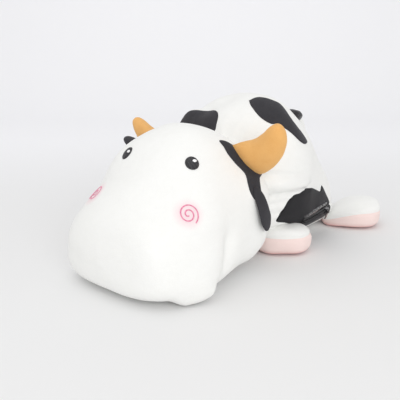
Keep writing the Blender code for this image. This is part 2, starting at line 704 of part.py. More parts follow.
class ZipLine:
    """The cone about an upright axis on which the zip lies, just clear of the body's flank."""

    def __init__(self):
        self.rise = ZIP_RISE_SHARE * LEG_HEIGHT
        front, middle, rear = (self.flank(share, self.rise) for share in
                               (ZIP_FRONT_SHARE, ZIP_MIDDLE_SHARE, ZIP_REAR_SHARE))
        first, second = (front + middle) / 2, (middle + rear) / 2
        across_first, across_second = middle - front, rear - middle
        lean = across_first.x * across_second.y - across_first.y * across_second.x
        share = ((second - first).x * across_second.x + (second - first).y * across_second.y) / lean
        self.axis = first + Vector((-across_first.y, across_first.x, 0)) * share
        self.first, self.last, self.rest = (self.bearing(share) for share in
                                            (ZIP_FRONT_SHARE, ZIP_REAR_SHARE, SLIDER_SHARE))
        low, high = (self.reach(self.rise + way * ZIP_TAPE_WIDTH / 2) for way in (-1, 1))
        slant = math.atan2(high - low, ZIP_TAPE_WIDTH)
        self.out = (math.cos(slant), -math.sin(slant))
        self.up = (math.sin(slant), math.cos(slant))
        self.middle = (low + high) / 2 + SEAM_GAP

    def flank(self, share, rise):
        level = body_place(1, share, rise) + Vector((FAR, 0, 0))
        return seat(body_skin, level, (-1, 0, 0))[0]

    def bearing(self, share):
        spot = self.flank(share, self.rise)
        return math.atan2(spot.y - self.axis.y, spot.x - self.axis.x)

    def reach(self, rise):
        """The flank's greatest distance from the axis at this height, along the zip."""
        spots = [self.flank(ZIP_REAR_SHARE + (ZIP_FRONT_SHARE - ZIP_REAR_SHARE) * i / ZIP_STEPS, rise)
                 for i in range(ZIP_STEPS + 1)]
        return max(math.hypot(spot.x - self.axis.x, spot.y - self.axis.y) for spot in spots)

    def point(self, out, up, turn):
        radius = self.middle + out * self.out[0] + up * self.up[0]
        return Vector((self.axis.x + radius * math.cos(turn), self.axis.y + radius * math.sin(turn),
                       self.rise + out * self.out[1] + up * self.up[1]))

    def swept(self, name, profile, first, last, steps, material):
        """A profile of points (out, up) carried round the axis."""
        n = len(profile)
        points = [self.point(out, up, first + (last - first) * i / steps)
                  for i in range(steps + 1) for out, up in profile]
        faces = [(i * n + j, i * n + (j + 1) % n, (i + 1) * n + (j + 1) % n, (i + 1) * n + j)
                 for i in range(steps) for j in range(n)]
        faces += [tuple(range(n)), tuple(steps * n + j for j in range(n))]
        return put_mesh(name, points, faces, material)


def rectangle(out_low, out_high, up_low, up_high):
    return [(out_low, up_low), (out_high, up_low), (out_high, up_high), (out_low, up_high)]


def channel(foot, roof, top, half_gap, half_width):
    """A profile open towards the body: two feet, and a roof between two heights."""
    return [(foot, -half_width), (top, -half_width), (top, half_width), (foot, half_width),
            (foot, half_gap), (roof, half_gap), (roof, -half_gap), (foot, -half_gap)]


def zip_fastener(line):
    tape = rectangle(0, ZIP_TAPE_THICKNESS, -ZIP_TAPE_WIDTH / 2, ZIP_TAPE_WIDTH / 2)
    line.swept("zip_tape", tape, line.first, line.last, ZIP_STEPS, ZIP_BLACK)
    coil_out = ZIP_TAPE_THICKNESS + SEAM_GAP + ZIP_COIL_THICKNESS / 2
    coil = oval(ZIP_COIL_THICKNESS, ZIP_COIL_THICKNESS, COIL_SIDES, (coil_out, 0))
    line.swept("zip_coil", coil, line.first, line.last, ZIP_STEPS, ZIP_BLACK)

    foot = ZIP_TAPE_THICKNESS + SEAM_GAP
    roof = foot + ZIP_COIL_THICKNESS + SEAM_GAP
    top = roof + SLIDER_ROOF
    half = SLIDER_LENGTH / 2 / line.middle
    body = channel(foot, roof, top, ZIP_COIL_THICKNESS / 2 + SEAM_GAP, SLIDER_WIDTH / 2)
    slider = line.swept("zip_slider", body, line.rest - half, line.rest + half, SLIDER_STEPS, ZIP_BLACK)
    half = BRIDGE_LENGTH / 2 / line.middle
    arch = channel(top - BRIDGE_ROOT, top + BRIDGE_ROOM, top + BRIDGE_ROOM + BRIDGE_THICKNESS,
                   BRIDGE_SPAN / 2, BRIDGE_SPAN / 2 + BRIDGE_THICKNESS)
    bridge = hide(line.swept("bridge", arch, line.rest - half, line.rest + half, SLIDER_STEPS, None))
    cut(slider, bridge, way="UNION")

    bar = top + BRIDGE_ROOM / 2
    faces = (bar - PULL_THICKNESS / 2, bar + PULL_THICKNESS / 2)
    plate = rectangle(*faces, PULL_RIM / 2 - PULL_LENGTH, PULL_RIM / 2)
    half = PULL_WIDTH / 2 / line.middle
    pull = line.swept("zip_pull", plate, line.rest - half, line.rest + half, SLIDER_STEPS, ZIP_BLACK)
    opening = rectangle(bar - PULL_THICKNESS, bar + PULL_THICKNESS, -PULL_RIM / 2 - PULL_WINDOW, -PULL_RIM / 2)
    half = (PULL_WIDTH / 2 - PULL_RIM) / line.middle
    cut(pull, hide(line.swept("window", opening, line.rest - half, line.rest + half, SLIDER_STEPS, None)))

    outward = line.point(top, 0, line.rest) - line.point(foot, 0, line.rest)
    pivot("zip_slider", (line.axis.x, line.axis.y, line.rise), Vector((0, 0, 1)), slider)
    pivot("zip_pull", line.point(bar, 0, line.rest), outward.cross(Vector((0, 0, 1))).normalized(), pull)
    print("zip turns from", math.degrees(line.first - line.rest), "to", math.degrees(line.last - line.rest))


zip_line = ZipLine()
zip_fastener(zip_line)
room = rectangle(-CLOTH, ZIP_COIL_THICKNESS, -ZIP_TAPE_WIDTH / 2 - SEAM_GAP, ZIP_TAPE_WIDTH / 2 + SEAM_GAP)
zip_room = hide(zip_line.swept("zip_room", room, zip_line.first, zip_line.last, ZIP_STEPS, None))

lay_on_body = round_pattern(body_point, BODY_HEIGHT / 2)
for word, corners in SPOT_SHARES.items():
    outline = closed_curve(corners, SPOT_CORNERS)
    piece = patch("spot_" + word, lay_on_body, outline, PATCH_GAP, patch_top, SPOT_RINGS, BLACK)
    cut(piece, zip_room)
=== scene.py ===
import json
from math import atan2, copysign, cos, exp, pi, radians, sin, sqrt, tau

import bmesh
import bpy
import numpy as np
from mathutils import Matrix, Vector, noise
from mathutils.bvhtree import BVHTree


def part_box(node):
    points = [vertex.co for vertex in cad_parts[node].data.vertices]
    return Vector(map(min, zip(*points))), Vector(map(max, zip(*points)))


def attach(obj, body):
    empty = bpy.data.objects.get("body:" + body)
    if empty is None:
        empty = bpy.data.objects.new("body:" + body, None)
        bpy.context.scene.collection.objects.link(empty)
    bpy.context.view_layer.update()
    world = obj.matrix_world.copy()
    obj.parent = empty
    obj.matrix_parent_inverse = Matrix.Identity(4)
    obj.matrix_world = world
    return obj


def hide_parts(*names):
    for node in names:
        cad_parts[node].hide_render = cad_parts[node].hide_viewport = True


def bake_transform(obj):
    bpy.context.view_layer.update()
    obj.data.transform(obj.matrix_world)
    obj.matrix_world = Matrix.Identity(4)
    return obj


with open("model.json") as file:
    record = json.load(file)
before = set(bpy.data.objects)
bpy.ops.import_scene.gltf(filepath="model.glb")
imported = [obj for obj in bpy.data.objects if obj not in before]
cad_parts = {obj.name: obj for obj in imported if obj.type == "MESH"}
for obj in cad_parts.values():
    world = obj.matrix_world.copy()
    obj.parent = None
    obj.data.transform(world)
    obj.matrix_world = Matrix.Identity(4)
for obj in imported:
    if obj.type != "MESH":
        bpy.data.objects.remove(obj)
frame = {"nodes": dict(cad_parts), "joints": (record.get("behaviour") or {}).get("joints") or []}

scene = bpy.context.scene
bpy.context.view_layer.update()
root = "head_and_body"
sides = {"left": 1, "right": -1}
print("frame loaded")


def linked(name, data):
    made = bpy.data.objects.new(name, data)
    scene.collection.objects.link(made)
    return made


def aimed(made, place, way):
    made.location = place
    made.rotation_mode = "QUATERNION"
    made.rotation_quaternion = way.to_track_quat("-Z", "Y")


# Camera: the photograph's place and angle, for a picture of 400 x 400
photoView = {"azimuth": 39.6, "elevation": 15.5, "distance": 0.85, "target": (0, -0.083, 0.092), "lens": 50.58}
turn, tilt = radians(photoView["azimuth"]), radians(photoView["elevation"])
towards = Vector((sin(turn) * cos(tilt), -cos(turn) * cos(tilt), sin(tilt)))
camera = linked("camera", bpy.data.cameras.new("camera"))
camera.data.lens = photoView["lens"]
camera.data.sensor_width = 36
aimed(camera, Vector(photoView["target"]) + towards * photoView["distance"], -towards)
scene.camera = camera


# Materials
def linear(code):
    parts = [int(code[k:k + 2], 16) / 255 for k in (1, 3, 5)]
    return (*[c / 12.92 if c <= 0.04045 else ((c + 0.055) / 1.055) ** 2.4 for c in parts], 1.0)


def addNode(tree, kind, inputs=None, **settings):
    # an input is a value, or the socket that feeds it; what comes back is the node's outputs
    made = tree.nodes.new(kind)
    for key, value in settings.items():
        setattr(made, key, value)
    for key, value in (inputs or {}).items():
        if isinstance(value, bpy.types.NodeSocket):
            tree.links.new(value, made.inputs[key])
        else:
            made.inputs[key].default_value = value
    return made.outputs


def together(tree, **parts):
    return addNode(tree, "ShaderNodeCombineXYZ", parts)["Vector"]


def mathNode(tree, operation, *terms):
    return addNode(tree, "ShaderNodeMath", dict(enumerate(terms)), operation=operation)[0]


def startMaterial(name):
    made = bpy.data.materials.new(name)
    made.use_nodes = True
    tree = made.node_tree
    tree.nodes.clear()
    return made, tree


def ramp(tree, fac, stops):
    made = tree.nodes.new("ShaderNodeValToRGB")
    tree.links.new(fac, made.inputs["Fac"])
    bar = made.color_ramp
    while len(bar.elements) < len(stops):
        bar.elements.new(0.5)
    for element, (place, code) in zip(bar.elements, stops):
        element.position = place
        element.color = linear(code)
    return made.outputs["Color"]


def softRange(tree, value, low, high, start=0.0, end=1.0):
    ends = {"Value": value, "From Min": low, "From Max": high, "To Min": start, "To Max": end}
    return addNode(tree, "ShaderNodeMapRange", ends, interpolation_type="SMOOTHSTEP")[0]


def bumped(tree, height, strength, lift):
    return addNode(tree, "ShaderNodeBump", {"Height": height, "Strength": strength, "Distance": lift})["Normal"]


shaderInputs = {"roughness": "Roughness", "sheen": "Sheen Weight", "sheenRoughness": "Sheen Roughness",
                "sheenHex": "Sheen Tint", "ior": "IOR", "coat": "Coat Weight", "coatRoughness": "Coat Roughness",
                "specular": "Specular IOR Level"}


def endMaterial(tree, colour, normal, **values):
    inputs = {shaderInputs[key]: linear(value) if key == "sheenHex" else value for key, value in values.items()}
    shader = addNode(tree, "ShaderNodeBsdfPrincipled", {"Base Color": colour, "Normal": normal, **inputs})
    addNode(tree, "ShaderNodeOutputMaterial", {"Surface": shader["BSDF"]})


def objectPlace(tree):
    return addNode(tree, "ShaderNodeTexCoord")["Object"]


def noiseAt(tree, spot, grain, detail=2.0, rough=0.5):
    inputs = {"Vector": spot, "Scale": 1 / grain, "Detail": detail, "Roughness": rough}
    return addNode(tree, "ShaderNodeTexNoise", inputs)["Fac"]


def pileAt(tree, pile, brushed):
    # a short pile that lies along the toy: its tips, and the swirls that it is brushed into
    spot = addNode(tree, "ShaderNodeMapping", {"Vector": objectPlace(tree), "Scale": (1.0, 0.62, 1.0)})["Vector"]
    return spot, noiseAt(tree, spot, pile, 3.0, 0.6), noiseAt(tree, spot, brushed)


def endPlush(tree, colour, tips, swirls, lift, **shader):
    height = mathNode(tree, "MULTIPLY_ADD", swirls, 1.6, tips)
    endMaterial(tree, colour, bumped(tree, height, 0.45, lift), **shader)


def plushMaterial(name, main, shade, pile=0.0012, brushed=0.008, stuffed=0.045, lift=0.0004, blush=(), **shader):
    made, tree = startMaterial(name)
    spot, tips, swirls = pileAt(tree, pile, brushed)
    tone = mathNode(tree, "MULTIPLY_ADD", swirls, 0.5, tips)
    tone = mathNode(tree, "MULTIPLY_ADD", noiseAt(tree, spot, stuffed, 1.0), 0.5, tone)
    colour = ramp(tree, mathNode(tree, "MULTIPLY", tone, 0.5), [(0.25, shade), (0.7, main)])
    for centre, reach, code in blush:
        far = addNode(tree, "ShaderNodeVectorMath", {0: objectPlace(tree), 1: centre}, operation="DISTANCE")
        near = softRange(tree, far["Value"], reach * 0.35, reach, 1.0, 0.0)
        colour = addNode(tree, "ShaderNodeMix", {0: near, 6: colour, 7: linear(code)}, data_type="RGBA",
                         blend_type="MULTIPLY")[2]
    endPlush(tree, colour, tips, swirls, lift, **shader)
    return made


def grainMaterial(name, grain, stops, strength, lift, **shader):
    made, tree = startMaterial(name)
    fac = noiseAt(tree, objectPlace(tree), grain)
    endMaterial(tree, ramp(tree, fac, stops), bumped(tree, fac, strength, lift), **shader)
    return made


def wovenMaterial(name, strand, distortion, detail, stops, strength, lift, **shader):
    # yarns laid side by side, each as wide as the strand
    made, tree = startMaterial(name)
    yarns = {"Vector": objectPlace(tree), "Scale": 0.05 / strand, "Distortion": distortion, "Detail": detail}
    wave = addNode(tree, "ShaderNodeTexWave", yarns, bands_direction="DIAGONAL")["Fac"]
    endMaterial(tree, ramp(tree, wave, stops), bumped(tree, wave, strength, lift), **shader)
    return made


def threadMaterial(name, main, shade, **shader):
    return wovenMaterial(name, 0.0005, 1.5, 1.0, [(0.0, shade), (0.8, main)], 0.3, 0.00015, **shader)


# Forms: the rows are shares of a form's length, width and height
whole = {
    "headWidth": 0.224, "headHeight": 0.216, "bodyWidth": 0.226, "bodyHeight": 0.243,
    "neckWidth": 0.16, "neckLow": 0.03, "neckHigh": 0.182,
    "upperSection": 0.94, "lowerSection": 0.55, "press": 0.0005,
}
headRows = [
    (0, 0, 0.22, 0.22, 0), (0.013, 0.42, 0.1, 0.35, 0.04), (0.055, 0.73, 0.05, 0.49, 0.09),
    (0.15, 0.87, 0.02, 0.605, 0.17), (0.3, 0.94, 0, 0.75, 0.27), (0.45, 0.95, 0, 0.895, 0.26),
    (0.595, 0.92, 0.01, 0.979, 0.23), (0.72, 0.93, 0.022, 0.98, 0.16), (0.85, 0.98, 0.03, 0.934, 0.07),
    (0.948, 0.95, 0.09, 0.855, 0.02),
]
bodyRows = [
    (0, 0, 0.2, 0.2, 0.04), (0.009, 0.28, 0.09, 0.31, 0.08), (0.041, 0.52, 0.01, 0.42, 0.14),
    (0.105, 0.67, 0, 0.54, 0.2), (0.2, 0.73, 0, 0.67, 0.24), (0.33, 0.79, 0, 0.82, 0.2),
    (0.48, 0.87, 0, 0.935, 0.1), (0.63, 0.97, 0.03, 1, 0), (0.78, 0.97, 0.08, 0.985, -0.08),
    (0.925, 0.87, 0.11, 0.88, -0.08),
]


def eased(f, rows):
    # a smooth curve from the second of four rows to the third
    return [b + f / 2 * (c - a + f * (2 * a - 5 * b + 4 * c - d + f * (3 * (b - c) + d - a)))
            for a, b, c, d in zip(*rows)]


def rowsAt(rows, t):
    last = len(rows) - 1
    place = min(max(t, 0), 1) * last
    k = min(int(place), last - 1)
    return eased(place - k, [rows[min(max(k + step, 0), last)] for step in (-1, 0, 1, 2)])


def lyingForm(rows, length, width, height, start=0.0, way=1):
    def point(t, angle):
        along, wide, low, high, lower = rowsAt(rows, t)
        side, up = cos(angle), sin(angle)
        share = whole["upperSection"] if up >= 0 else whole["lowerSection"]
        side, up = (copysign(abs(v) ** share, v) for v in (side, up))
        bottom, top = height * low - whole["press"], height * high
        return Vector((side * wide * width / 2 * (1 - lower * up), start + way * along * length,
                       max((top + bottom) / 2 + (top - bottom) / 2 * up, 0)))
    return point


def ringFaces(rows, n):
    # the faces between closed rings of n points
    return [(i * n + j, i * n + (j + 1) % n, (i + 1) * n + (j + 1) % n, (i + 1) * n + j)
            for i in range(rows) for j in range(n)]


def gridOf(point, shares, angles, place=Matrix()):
    # rings of points, one ring at each share; the first ring of a closed end has no width
    spots = np.array([place @ point(t, angle) for t in shares for angle in angles])
    return spots, ringFaces(len(shares) - 1, len(angles))


def tubeOf(point, rings, around, place=Matrix()):
    return gridOf(point, [k / rings for k in range(rings + 1)], [tau * j / around for j in range(around)], place)


def normalsOf(spots, faces):
    a, b, c, d = (spots[[face[k] for face in faces]] for k in range(4))
    square = np.cross(c - a, d - b)
    total = np.zeros_like(spots)
    for k in range(4):
        np.add.at(total, [face[k] for face in faces], square)
    size = np.linalg.norm(total, axis=1, keepdims=True)
    total = total / np.maximum(size, 1e-12)
    out = np.sum(total * (spots - spots.mean(axis=0)))
    return total if out > 0 else -total


def raised(spots, faces, relief):
    return spots + normalsOf(spots, faces) * relief[:, None]


def offFloor(spots):
    spots[:, 2] = np.maximum(spots[:, 2], 0)


def putMesh(name, spots, faces, material):
    mesh = bpy.data.meshes.new(name)
    mesh.from_pydata([tuple(spot) for spot in spots], [], faces)
    tidy = bmesh.new()
    tidy.from_mesh(mesh)
    bmesh.ops.remove_doubles(tidy, verts=tidy.verts, dist=1e-5)
    bmesh.ops.dissolve_degenerate(tidy, edges=tidy.edges, dist=1e-7)
    bmesh.ops.recalc_face_normals(tidy, faces=tidy.faces)
    tidy.to_mesh(mesh)
    tidy.free()
    mesh.shade_smooth()
    mesh.materials.append(material)
    return linked(name, mesh)


def skinOf(piece):
    mesh = piece.data
    return BVHTree.FromPolygons([v.co.copy() for v in mesh.vertices], [tuple(p.vertices) for p in mesh.polygons])


def lumps(spots, size, depth, seed):
    shift = Vector((seed, seed * 1.7, seed * 0.3))
    return np.array([noise.noise(Vector(spot) / size + shift) for spot in spots]) * depth


def nearPath(spots, path):
    # distance to a path, and how far along it the nearest place is, from 0 to 1
    path = np.array(path)
    best = np.full(len(spots), 1e9)
    along = np.zeros(len(spots))
    steps = len(path) - 1
    for k in range(steps):
        a, b = path[k], path[k + 1]
        f = np.clip(((spots - a) @ (b - a)) / ((b - a) @ (b - a)), 0, 1)
        d = np.linalg.norm(spots - (a + f[:, None] * (b - a)), axis=1)
        near = d < best
        best[near] = d[near]
        along[near] = (k + f[near]) / steps
    return best, along


def groove(spots, path, depth, width, fade=0.18):
    # a soft valley along a path, shallow at its ends; a negative depth raises a roll
    far, along = nearPath(spots, path)
    ends = np.clip(np.minimum(along, 1 - along) / fade, 0, 1)
    return -depth * np.exp(-(far / width) ** 2) * ends * ends * (3 - 2 * ends)


def smoothStep(values, low, high):
    f = np.clip((values - low) / (high - low), 0, 1)
    return f * f * (3 - 2 * f)


def coverRelief(spots, piece, seamY):
    # lumps of filling, ripples of cloth, gathers that run from the neck's seam, and the folds
    relief = sum(lumps(spots, size, depth, seed) for size, depth, seed in piece["lumps"])
    reach = np.abs(spots[:, 1] - seamY) / piece["puckerReach"]
    around = np.arctan2(spots[:, 2] - 0.1, spots[:, 0])
    wave = np.sin(around * piece["puckerCount"] + 2.2 * np.sin(around * 5 + 1.0))
    relief = relief + wave * np.exp(-reach ** 1.3) * np.clip(reach * 4, 0, 1) * piece["pucker"]
    for path, depth, width, fade, *mirrored in piece["grooves"]:
        for way in (1, -1) if mirrored else (1,):
            relief += groove(spots, np.array(path) / 1000 * (way, 1, 1), depth, width, fade)
    return relief


def coverForm(point, piece):
    # the neck's ring is closed with a soft cap inside the seam
    n = piece["around"]
    spots, _ = tubeOf(point, piece["rings"], n)
    ring = spots[-n:]
    middle = ring.mean(axis=0)
    caps = [middle + (ring - middle) * share for share in (0.985, 0.8, 0.4, 0.0)]
    return np.vstack([spots, *caps]), ringFaces(piece["rings"] + len(caps), n)


# Head
headLow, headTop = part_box("head_cover")
head = {
    "rings": 150, "around": 240, "lumps": [(0.07, 0.001, 3.0), (0.016, 0.00012, 9.0)],
    "pucker": 0.0006, "puckerCount": 31, "puckerReach": 0.02,
    "grooves": [   # path in mm, depth, width, fade; a negative depth raises a roll
        ([(108, -179, 4), (112, -173, 23), (116, -166, 39), (116, -164, 49), (114, -160, 61), (112, -155, 73),
          (109, -151, 85), (105, -147, 97)], 0.0075, 0.012, 0.35, "mirrored"),   # behind the jowls
        ([(118, -196, 46), (112, -190, 66), (104, -182, 86)], -0.0015, 0.018, 0.4, "mirrored"),
        ([(-29, -136, 209), (-39, -145, 201), (-47, -160, 188), (-56, -173, 174), (-66, -184, 157), (-73, -196, 141),
          (-76, -208, 129), (-74, -222, 120)], -0.0098, 0.031, 0.5),   # the brow's filling stands full on the far side
        ([(80, -245, 9), (91, -233, 10), (100, -220, 11), (106, -206, 13), (109, -192, 16),
          (110, -180, 21)], -0.0085, 0.014, 0.3, "mirrored"),   # the chin is pressed out
    ],
}
headLength = headTop.y - headLow.y


def neckRow(width, height):
    return 1.0, whole["neckWidth"] / width, whole["neckLow"] / height, whole["neckHigh"] / height, 0.0


headPoint = lyingForm(headRows + [neckRow(whole["headWidth"], whole["headHeight"])], headLength, whole["headWidth"],
                      whole["headHeight"], headLow.y)
spots, faces = coverForm(headPoint, head)
relief = coverRelief(spots, head, headTop.y)
relief *= 1 - smoothStep(spots[:, 1], headTop.y - 0.004, headTop.y)
spots = raised(spots, faces, relief)
offFloor(spots)
# super-soft polyester plush with a short brushed pile: matt, with a faint halo at grazing angles
whiteDye = {"main": "#f5f5f3", "shade": "#efefec", "roughness": 0.92, "sheen": 0.15, "specular": 0.25}
whitePlush = plushMaterial("shortPilePolyesterPlushWhite", **whiteDye)
headCover = putMesh("headCover", spots, faces, whitePlush)
headSkin = skinOf(headCover)
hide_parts("head_cover", "head_filling")
print("head ready")

# Body
bodyLow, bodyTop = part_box("body_cover")
body = {
    "rings": 220, "around": 340, "lumps": [(0.06, 0.0018, 5.0), (0.018, 0.00015, 1.0)],
    "pucker": 0.0006, "puckerCount": 29, "puckerReach": 0.026,
    "grooves": [
        ([(86, -42, 103), (90, -35, 104), (98, -23, 104), (104, -4, 104), (108, 20, 103), (110, 53, 102),
          (109, 71, 104)], 0.0095, 0.0036, 0.16),
        # the roll above the crease
        ([(89, -37, 119), (97, -22, 118), (106, 0, 117), (110, 38, 113), (108, 66, 112)], -0.0065, 0.01, 0.34),
        ([(78, -46, 134), (83, -41, 134), (97, -28, 135), (107, -2, 131), (110, 36, 122),
          (110, 58, 120)], 0.0045, 0.005, 0.22),
        # the haunch, the nape and the far shoulder
        ([(50, 66, 229), (70, 56, 217), (86, 55, 201), (90, 66, 188), (86, 88, 176)], 0.0048, 0.02, 0.3),
        ([(-68, -20, 202), (-50, -9, 219), (-32, 1, 231), (-18, 18, 239), (-6, 36, 243)], 0.0055, 0.022, 0.35),
        ([(-104, -34, 170), (-92, -17, 188), (-83, -4, 202), (-72, 14, 214)], -0.012, 0.024, 0.3),
        # wrinkles of the near side, then of the far side
        ([(88, -38, 90), (94, -29, 89), (99, -15, 90), (103, -2, 93), (106, 10, 97)], 0.0021, 0.004, 0.35),
        ([(89, -34, 80), (94, -20, 72), (100, -4, 78)], 0.0021, 0.004, 0.35),
        ([(92, -26, 98), (94, -22, 86), (95, -20, 74)], 0.0021, 0.004, 0.35),
        ([(-88, -38, 108), (-99, -18, 112), (-107, 8, 108), (-110, 36, 112)], 0.0026, 0.007, 0.35),
        ([(-90, -32, 80), (-100, -10, 86), (-106, 12, 80)], 0.0026, 0.007, 0.35),
    ],
    "lift": 0.022, "liftFrom": 0.05, "liftTo": 0.095, "liftBelow": 0.052, "seamDepth": 0.0022, "seamWidth": 0.0032,
}
bodyPoint = lyingForm(bodyRows + [neckRow(whole["bodyWidth"], whole["bodyHeight"])], bodyTop.y - bodyLow.y,
                      whole["bodyWidth"], whole["bodyHeight"], bodyTop.y, -1)

# The zip turns about one upright axis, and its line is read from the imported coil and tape
joints = {joint["name"]: joint for joint in frame["joints"]}
zipAxis = joints["zip_travel"]["pos_m"][:2]


def fromZipAxis(node):
    # the reach, bearing and rise of each corner of a node
    spots = np.array([v.co for v in frame["nodes"][node].data.vertices])
    x, y = spots[:, 0] - zipAxis[0], spots[:, 1] - zipAxis[1]
    return np.hypot(x, y), np.arctan2(y, x), spots[:, 2]


zipBearings = fromZipAxis("zip_tape")[1]
zipStart, zipEnd = zipBearings.min(), zipBearings.max()
# beside the zip the cloth lies smooth, rests on the floor, and a patch is thin: none of it at the first distance
zipClear = {"relief": (0.007, 0.018), "lift": (0.003, 0.016), "patch": (0.0065, 0.0085), "thin": 0.0003}
coilReach, _, coilRise = (values.mean() for values in fromZipAxis("zip_coil"))


def zipBearing(k, count):
    return zipStart + (zipEnd - zipStart) * k / count


def zipOut(bearing):
    return Vector((cos(bearing), sin(bearing), 0))


def zipPlace(reach, rise, bearing):
    return Vector((zipAxis[0] + reach * cos(bearing), zipAxis[1] + reach * sin(bearing), rise))


def flankPath(side, rise, first, last, count=24):
    # the seam's line along the flank, found on the plain form at one height
    made = []
    for k in range(count + 1):
        t = first + (last - first) * k / count
        low, high = -80.0, 60.0
        for _ in range(24):
            middle = (low + high) / 2
            if bodyPoint(t, radians(middle)).z < rise:
                low = middle
            else:
                high = middle
        spot = bodyPoint(t, radians(low))
        made.append((side * spot.x, spot.y, spot.z))
    return made


spots, faces = coverForm(bodyPoint, body)
relief = coverRelief(spots, body, bodyLow.y)
for side in sides.values():
    relief += groove(spots, flankPath(side, coilRise, 0.14, 0.95), body["seamDepth"], body["seamWidth"], 0.06)
relief *= 1 - smoothStep(-spots[:, 1], -bodyLow.y - 0.004, -bodyLow.y)
zipLine = [zipPlace(coilReach, coilRise, zipBearing(k, 30)) for k in range(31)]
zipNear = nearPath(spots, zipLine)[0]
relief = relief * smoothStep(zipNear, *zipClear["relief"])
spots = raised(spots, faces, relief)
offFloor(spots)
spots[:, 2] += (body["lift"] * smoothStep(np.abs(spots[:, 0]), body["liftFrom"], body["liftTo"])
                * np.clip(1 - spots[:, 2] / body["liftBelow"], 0, 1) ** 1.5
                * smoothStep(zipNear, *zipClear["lift"]))   # only the middle rests on the floor
bodyCover = putMesh("bodyCover", spots, faces, whitePlush)
bodySkin = skinOf(bodyCover)
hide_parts("body_cover", "body_filling")
print("body ready")


# Laying patterns on the skins
def faceOut(normal, outward):
    return normal if normal.dot(outward) > 0 else -normal


def roundLay(point, skin, middle, side=1):
    # a pattern of shares along a form and degrees round it, laid on the finished skin
    def lay(t, degrees, height):
        angle = radians(degrees if side > 0 else 180 - degrees)
        spot = point(t, angle)
        along = point(t + 0.002, angle) - point(t - 0.002, angle)
        around = point(t, angle + 0.002) - point(t, angle - 0.002)
        normal = faceOut(along.cross(around).normalized(), spot - Vector((0, spot.y, middle)))
        hit, _, _, _ = skin.ray_cast(spot + normal * 0.02, -normal, 0.05)
        return (hit or spot) + normal * height
    return lay


def flatLay(skin, centre, facing):
    # a pattern in metres, laid on the skin round one place
    upward = (Vector((0, 0, 1)) - facing * facing.z).normalized()
    across = upward.cross(facing)

    def lay(p, q, height):
        hit, normal, _, _ = skin.ray_cast(centre + across * p + upward * q + facing * 0.3, -facing)
        return hit + faceOut(normal, facing) * height
    return lay


def closedCurve(corners, count):
    # the corners are thousandths along a form and degrees round it
    n = len(corners)
    made = []
    for i in range(count):
        k = int(i * n / count)
        near = [corners[(k + step) % n] for step in (-1, 0, 1, 2)]
        made.append(eased(i * n / count - k, [(t / 1000, degrees) for t, degrees in near]))
    return made


def shrunk(outline, share):
    p0, q0 = (sum(corner[k] for corner in outline) / len(outline) for k in (0, 1))
    return [(p0 + (p - p0) * share, q0 + (q - q0) * share) for p, q in outline]


def clothPatch(name, lay, outline, settings, material, clear, fold):
    # a sewn-on piece of cloth: full in the middle, drawn down to the skin at its edge
    p0, q0, wide, tall, rise = fold

    def swell(p, q):
        return rise * exp(-((p - p0) / wide) ** 2 - ((q - q0) / tall) ** 2)

    rings = settings["rings"]
    spots = []
    for k in range(rings + 1):
        share = sin(pi / 2 * k / rings)
        fall = min((1 - share) / settings["edge"], 1)
        height = settings["low"] + (settings["high"] - settings["low"]) * sqrt(fall * (2 - fall))
        inner = shrunk(outline, share)
        ring = [lay(p, q, height + swell(p, q) * min(fall * 3, 1)) for p, q in inner]
        if clear:   # flat under the zip's tape
            near = smoothStep(nearPath(np.array(ring), clear)[0], *zipClear["patch"])
            ring = [lay(p, q, min(height, zipClear["thin"] + height * f)) for (p, q), f in zip(inner, near)]
        spots += ring
    for share, depth in ((0.998, 0.0004), (0.5, 0.0006), (0.0, 0.0006)):   # its back, just under the skin
        spots += [lay(p, q, -depth) for p, q in shrunk(outline, share)]
    return putMesh(name, spots, ringFaces(rings + 3, len(outline)), material)


# Threads: Geometry Nodes set one stitch after another along a path
def startTree(name, labels, made):
    tree = bpy.data.node_groups.new(name, "GeometryNodeTree")
    tree.interface.new_socket("Path", in_out="INPUT", socket_type="NodeSocketGeometry")
    for label in labels:
        tree.interface.new_socket(label, in_out="INPUT", socket_type="NodeSocketFloat")
    tree.interface.new_socket(made, in_out="OUTPUT", socket_type="NodeSocketGeometry")
    given = addNode(tree, "NodeGroupInput")
    return tree, given, addNode(tree, "GeometryNodeMeshToCurve", {"Mesh": given["Path"]})["Curve"]


def endTree(tree, pieces, material, made):
    solid = addNode(tree, "GeometryNodeRealizeInstances", {"Geometry": pieces})
    dressed = addNode(tree, "GeometryNodeSetMaterial", {"Geometry": solid["Geometry"], "Material": material})
    addNode(tree, "NodeGroupOutput", {made: dressed["Geometry"]})
    return tree


def smoothed(tree, mesh):
    return addNode(tree, "GeometryNodeSetShadeSmooth", {"Geometry": mesh})["Geometry"]


def roundWire(tree, line, thickness, caps):
    half = mathNode(tree, "MULTIPLY", thickness, 0.5)
    wire = addNode(tree, "GeometryNodeCurvePrimitiveCircle", {"Resolution": 6, "Radius": half})
    made = addNode(tree, "GeometryNodeCurveToMesh", {"Curve": line, "Profile Curve": wire["Curve"], "Fill Caps": caps})
    return smoothed(tree, made["Mesh"])


